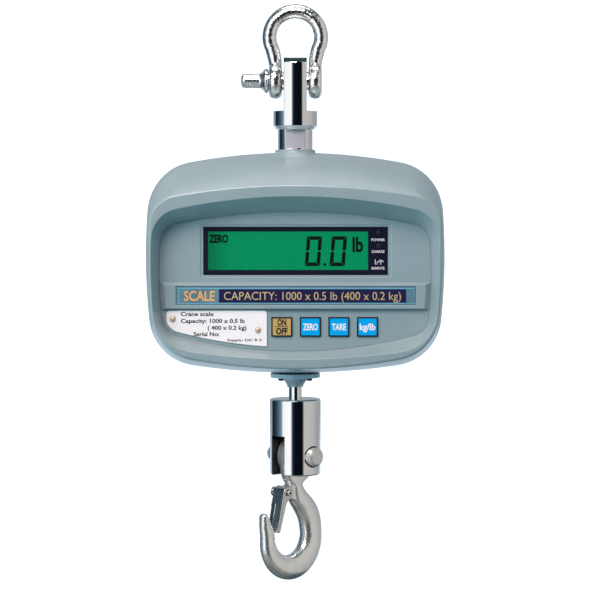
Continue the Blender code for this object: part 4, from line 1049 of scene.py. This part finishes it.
def rating_plate(look):
    rows = [(casing_outline(PANEL_EDGE, 3.2 + inset), depth)
            for inset, depth in ((0.25, -45.0), (0.07, -44.93), (0.0, -44.75), (0.0, -44.3))]
    bm = solid(layered, rows)
    plate = piece("plate_sheet", bm, look["plate"], "housing", ["rating_plate"], crease=12)
    corner = rounded_box(-109.6, -24.2, -300.0, -251.5, 2.6)
    shape(plate, solid(layered, [(corner, -47.0), (corner, -42.0)]), "INTERSECT")
    lines = (("Crane scale", -97.4, -256.1, 3.4, 28.0), ("Capacity:", -97.4, -262.0, 3.4, 22.0),
             ("1000 x 0.5 lb", -72.6, -262.0, 3.4, 29.6),
             ("( 400 x 0.2 kg)", -74.6, -267.8, 3.4, 33.0),
             ("Serial No:", -86.6, -273.2, 3.4, 22.0), ("Supply: DC 9 V", -58.0, -277.6, 2.0, 30.0))
    for number, (text, x, z, height, width) in enumerate(lines, start=1):
        lettering("plate_line_%d" % number, text, x, z, -45.03, height, look["ink"], "housing",
                  width=width, bold=0.028)
    for side, x, z in (("left", -104.2, -258.6), ("right", -31.7, -267.9)):
        dome = [(0, -46.7), (0.9, -46.63), (1.7, -46.3), (2.3, -45.85), (2.6, -45.35),
                (2.55, -45.1), (1.3, -45.1), (1.3, -40.2), (0, -40.2)]
        bm = solid(turned, dome, 32, along_y(x, z))
        piece("dome_rivet_" + side, bm, look["brass"], "housing", ["plate_rivet_" + side])


# ---------------------------------------------------------------- load train
def upper_eye(look):
    profile = eased([(0, -34.6), (16.8, -34.6), (19, -38.9), (19, -93.0), (16.9, -96.0),
                     (15, -96.0), (15, -141.0), (7.8, -141.0), (7.8, -158.0), (0, -158.0)], 0.5)
    bm = solid(turned, profile, 96)
    eye = piece("eye_bar", bm, look["chrome"], "housing", ["upper_eye"])
    flats = bmesh.new()
    for near, far in ((10, 30), (-30, -10)):
        block(flats, (near, far), (-30, 30), (-80.3, -20))
    for near, far in ((12.4, 30), (-30, -12.4)):
        block(flats, (-20, 20), (near, far), (-112.5, -96.5))
    shape(eye, flats)
    shape(eye, solid(turned, rod(PIN_BORE, -15, 15), 48, along_x(0, PIN_Z)))
    soften(eye, 0.4)
    repaint(eye, look["milled"], lambda spot, normal: spot.z < -97 and abs(normal.y) > 0.99)


def lower_train(look):
    bar = eased([(0, -196.6), (5.65, -196.6), (5.65, -358.6), (4.65, -359.6), (0, -359.6)], 0.3)
    bm = solid(turned, bar, 64)
    piece("shaft_bar", bm, look["chrome"], "housing", ["lower_shaft"])
    disc = eased([(7.6, -307.8), (21.6, -307.8), (21.6, -311.6), (7.6, -311.6)], 0.6, ring=True)
    bm = solid(turned, disc, 96, ring=True)
    # the flange disc takes the lightened paint: painted light from below on its shaded rim
    flange = piece("flange_disc", bm, look["flange"], "housing", ["bottom_flange"])
    bm = bmesh.new()
    for x in FLANGE_SCREWS_X:
        turned(bm, rod(1.9, -300, -320), 16, Matrix.Translation((x, FLANGE_SCREW_Y, 0)))
    shape(flange, bm)
    cone = [(6.0, -311.9), (11.3, -311.9), (11.6, -312.6)]
    for k in range(9):
        t = k / 8
        cone.append((7.1 + 4.3 * (1 - t) ** 1.7, -313.0 - 6.6 * t))
    cone += [(6.9, -319.9), (6.0, -319.9)]
    bm = solid(turned, cone, 64, ring=True)
    piece("bush_cone", bm, look["alloy"], "housing", ["cone_bush"])


def shackle(look):
    points = [(EYE_X, -43.2), (EYE_X + 0.1, -38.5), (EYE_X + 0.8, -34.0)]
    ring = arc((0.0, -16.2), 22.4, -28, 208, 24)
    half = points + ring[:13]
    right = [tuple(point) for point in catmull([(x, 0.0, z) for x, z in half], 3)]
    path = right + [(-x, y, z) for x, y, z in reversed(right[:-1])]
    radii = [5.4 + 0.8 * min(1.0, max(0.0, (z + 43.2) / 12.0)) for x, y, z in path]
    bm = solid(sweep, path, radii, 32)
    bow = piece("bow_bar", bm, look["forged"], "shackle", ["shackle_bow"])
    bm = bmesh.new()
    eye = eased([(PIN_BORE, -5.75), (11.8, -5.75), (14.7, -4.2), (15.9, 0), (14.7, 4.2),
                 (11.8, 5.75), (PIN_BORE, 5.75)], 2.2, ring=True)
    for x in (-EYE_X, EYE_X):
        turned(bm, eye, 56, Matrix.Translation((x, 0, 0)) @ along_x(0, PIN_Z), ring=True)
    shape(bow, bm, "UNION")
    blend_forging(bow, 0.55, 3)

    collar = -23.3
    profile = [(0, 22.9), (7.2, 22.9), (8.0, 21.9), (8.0, collar), (9.8, collar),
               (10.6, collar - 1.2), (10.6, collar - 2.6), (9.4, collar - 4.0),
               (7.4, collar - 5.6), (6.2, collar - 7.6), (6.2, -43.4), (5.9, -45.3),
               (4.6, -46.6), (2.4, -46.9), (0, -46.9)]
    bm = solid(turned, eased(profile, 0.7), 64, along_x(0, PIN_Z))
    pin = piece("pin_bar", bm, look["forged"], "shackle_pin", ["shackle_pin"])
    tilt = Matrix.Translation((0, 0, PIN_Z)) @ Matrix.Rotation(math.radians(-35), 4, "X")
    bm = bmesh.new()
    verts = block(bm, (-60, -32), (-10, 10), (4.4, 20))
    verts += block(bm, (-60, -32), (-10, 10), (-20, -4.4))
    bmesh.ops.transform(bm, matrix=tilt, verts=verts)
    shape(pin, bm)
    shape(pin, solid(turned, rod(2.6, -12, 12), 32, tilt @ Matrix.Translation((-40, 0, 0))))
    soften(pin, 0.5, 3)


def swivel(look):
    profile = [(6.1, -330.0), (21.2, -330.0), (22.2, -331.0), (22.2, -395.0), (21.2, -396.0),
               (11.5, -396.0), (11.5, -343.0), (6.1, -343.0)]
    bm = solid(turned, eased(profile, 0.4, ring=True), 128, ring=True)
    clevis = piece("clevis_body", bm, look["chrome"], "swivel", ["swivel_clevis"],
                   turn=SWIVEL_TURN)
    shape(clevis, solid(block, (-40, 40), (-7.8, 7.8), (-410, -361.6)))
    bore = [(0, -40), (CLEVIS_BORE, -40), (CLEVIS_BORE, 20.2), (9.4, 20.2), (9.4, 40), (0, 40)]
    shape(clevis, solid(turned, bore, 64, along_y(0, CLEVIS_Z)))
    soften(clevis, 0.35)
    # the slot's inner walls get the near-black finish: painted shade inside the slot round the
    # hook's eye
    repaint(clevis, look["slot"],
            lambda spot, normal: -395.9 < spot.z < -361 and math.hypot(spot.x, spot.y) < 21.6)

    profile = [(0, 27.6), (6.4, 27.6), (8.2, 26.0), (8.2, 20.5), (6.35, 20.5), (6.35, -22.9),
               (5.4, -22.9), (5.4, -24.4), (6.35, -24.4), (6.35, -28.7), (5.5, -29.5), (0, -29.5)]
    bm = solid(turned, eased(profile, 0.35), 64, along_y(0, CLEVIS_Z))
    piece("clevis_bolt", bm, look["bolt"], "swivel", ["clevis_pin"],
          turn=SWIVEL_TURN)
    outline = arc((0, CLEVIS_Z), 8.8, 125, 415, 48) + arc((0, CLEVIS_Z), 5.7, 415, 125, 48)
    bm = solid(layered, [(outline, -24.1), (outline, -23.2)])
    piece("clip_ring", bm, look["steel"], "swivel", ["retaining_ring"], turn=SWIVEL_TURN)


# ---------------------------------------------------------------- hook
def hook_rows():
    """(inner u, inner z, outer u, outer z, thickness, power), from the eye to the tip."""
    rows = [(16.0, -386.0, -16.6, -386.0, 13.4, 0.6), (15.6, -391.0, -17.0, -391.0, 13.4, 0.6),
            (14.7, -395.5, -16.6, -395.5, 13.4, 0.6), (13.2, -399.5, -13.5, -399.5, 13.5, 0.65),
            (11.0, -403.0, -8.4, -402.8, 13.6, 0.8), (8.1, -406.6, -6.6, -405.9, 13.8, 0.94),
            (7.6, -413.5, -10.4, -411.0, 15.0, 0.94), (5.2, -421.0, -17.8, -417.5, 16.0, 0.94),
            (-0.6, -428.6, -25.0, -426.5, 16.5, 0.94), (-5.8, -437.5, -29.0, -437.5, 16.5, 0.94)]
    for angle in range(180, 361, 15):
        heading = math.radians(angle)
        ray = Vector((math.cos(heading), math.sin(heading)))
        start = Vector(BOWL_CENTRE)
        inner = start + ray * BOWL_RADIUS
        offset = start - Vector(BACK_CENTRE)
        reach = -offset.dot(ray)
        reach += math.sqrt(offset.dot(ray) ** 2 - offset.length_squared + BACK_RADIUS ** 2)
        outer = start + ray * reach
        swell = max(0.0, (angle - 270.0) / 90.0)
        rows.append((inner.x, inner.y, outer.x, outer.y, 16.5 - 4.5 * swell, 0.94))
    rows += [(28.0, -443.0, 41.6, -443.0, 11.4, 0.94), (31.4, -436.6, 42.0, -437.4, 10.4, 0.94),
             (34.4, -430.6, 42.0, -431.6, 9.2, 0.94), (36.0, -427.9, 41.4, -428.5, 7.0, 0.94),
             (37.8, -427.2, 40.0, -427.3, 3.0, 0.94)]
    return rows


def hook(look):
    loops = []
    for inner_u, inner_z, outer_u, outer_z, thickness, power in catmull(hook_rows(), 4):
        middle = ((inner_u + outer_u) / 2, (inner_z + outer_z) / 2)
        reach = ((outer_u - inner_u) / 2, (outer_z - inner_z) / 2)
        loop = []
        for k in range(40):
            angle = math.tau * k / 40
            across = math.copysign(abs(math.cos(angle)) ** power, math.cos(angle))
            out = math.copysign(abs(math.sin(angle)) ** power, math.sin(angle))
            loop.append((middle[0] + reach[0] * across, thickness / 2 * out,
                         middle[1] + reach[1] * across))
        loops.append(loop)
    bm = solid(skin, loops)
    body = piece("hook_forging", bm, look["satin"], "hook", ["hook"], turn=SWIVEL_TURN)
    eye = eased([(CLEVIS_BORE, -6.8), (15.4, -6.8), (17.0, -5.4), (17.3, 0), (17.0, 5.4),
                 (15.4, 6.8), (CLEVIS_BORE, 6.8)], 1.2, ring=True)
    shape(body, solid(turned, eye, 56, along_y(0, CLEVIS_Z), ring=True), "UNION")
    outline = [(3.0, -419.0), (3.0, -403.0)] + arc(LATCH_PIVOT, 4.3, 75, -80, 12)
    shape(body, solid(layered, [(outline, -5.2), (outline, 5.2)]), "UNION")
    blend_forging(body, 0.62, 3)
    bm = bmesh.new()
    turned(bm, rod(RIVET_BORE, -20, 20), 32, along_y(*LATCH_PIVOT))
    turned(bm, rod(CLEVIS_BORE, -20, 20), 48, along_y(0, CLEVIS_Z))
    shape(body, bm)

    rivet = [(1.1, 9.0), (2.6, 9.0), (2.9, 8.6), (2.9, 7.7), (2.0, 7.7), (2.0, -12.4), (2.9, -12.6),
             (2.9, -13.2), (2.6, -13.4), (1.1, -13.4)]
    bm = solid(turned, eased(rivet, 0.25, ring=True), 40, along_y(*LATCH_PIVOT), ring=True)
    piece("rivet_tube", bm, look["steel"], "hook", ["latch_rivet"], turn=SWIVEL_TURN)
    latch(look)
    latch_spring(look)


def latch(look):
    """A stamped channel with rounded edges and a stiffening rib down its web."""
    outline = arc(LATCH_PIVOT, 5.9, 160, 0, 16)
    outline += [(21.4, -416.0), (27.6, -444.0), (27.2, -444.7), (25.2, -444.8), (24.6, -444.4),
                (16.8, -420.0), (14.0, -417.2), (10.0, -415.0)]
    bm = solid(layered, [(outline, -6.9), (outline, 6.9)])
    body = piece("latch_channel", bm, look["steel"], "latch", ["latch"], turn=SWIVEL_TURN)
    soften(body, 1.3, 4, 60)
    rib = [(21.6, -1.6, -419.5), (22.0, -1.6, -420.5), (26.2, -1.6, -439.5), (26.0, -1.6, -440.5)]
    shape(body, solid(sweep, rib, [0.4, 1.1, 1.1, 0.4], 16), "UNION")
    inside = [(0, -390), (16.5, -390), (19.1, -411.0), (20.0, -416.0), (27.3, -450.0), (0, -450)]
    shape(body, solid(layered, [(inside, -5.6), (inside, 5.6)]))
    shape(body, solid(turned, rod(RIVET_BORE, -20, 20), 32, along_y(*LATCH_PIVOT)))


def latch_spring(look):
    x, z = LATCH_PIVOT
    turns = 3.5
    path = [(x + 7.5, -7.6, z - 12.5), (x + 5.6, -7.6, z - 5.5)]
    steps = int(turns * 24)
    for k in range(steps + 1):
        angle = -math.radians(20) + math.tau * k / 24
        path.append((x + 3.9 * math.cos(angle), -7.8 - 4.2 * k / steps, z + 3.9 * math.sin(angle)))
    path += [(x - 5.5, -12.0, z - 3.5), (x - 8.5, -9.2, z - 9.0)]
    bm = solid(sweep, path, [0.45] * len(path), 12)
    piece("spring_wire", bm, look["steel"], "hook", ["latch_spring"], turn=SWIVEL_TURN)


# ---------------------------------------------------------------- pieces kept from the frame
def dress_frame(look):
    """CAD pieces whose shape is already right get their finish."""
    kept = {
        "steel": "thrust_bearing swivel_nut shaft_lock_nut mounting_bracket gauge_cover "
                 "bracket_screw_left bracket_screw_right door_screw_left door_screw_right "
                 "cover_screw_1 cover_screw_2 cover_screw_3 cover_screw_4",
        "alloy": "load_cell",
        "black": "lcd_holder switch_power switch_zero switch_tare switch_unit remote_receiver "
                 "battery_tray charging_jack flange_screw_1 flange_screw_2",
        "rubber": "gasket_left gasket_right load_cell_lead",
        "plate": "backlight",
        "board": "main_board",
        "battery": "battery",
    }
    for finish, names in kept.items():
        for name in names.split():
            mesh = NODES[name].data
            mesh.materials.clear()
            mesh.materials.append(look[finish])


def main():
    camera()
    studio()
    look = finishes()
    front_casing(look)
    rear_casing(look)
    front_panel(look)
    display(look)
    keys(look)
    label_strip(look)
    rating_plate(look)
    upper_eye(look)
    lower_train(look)
    shackle(look)
    swivel(look)
    hook(look)
    dress_frame(look)
    even_shading()


main()
bpy.context.view_layer.update()
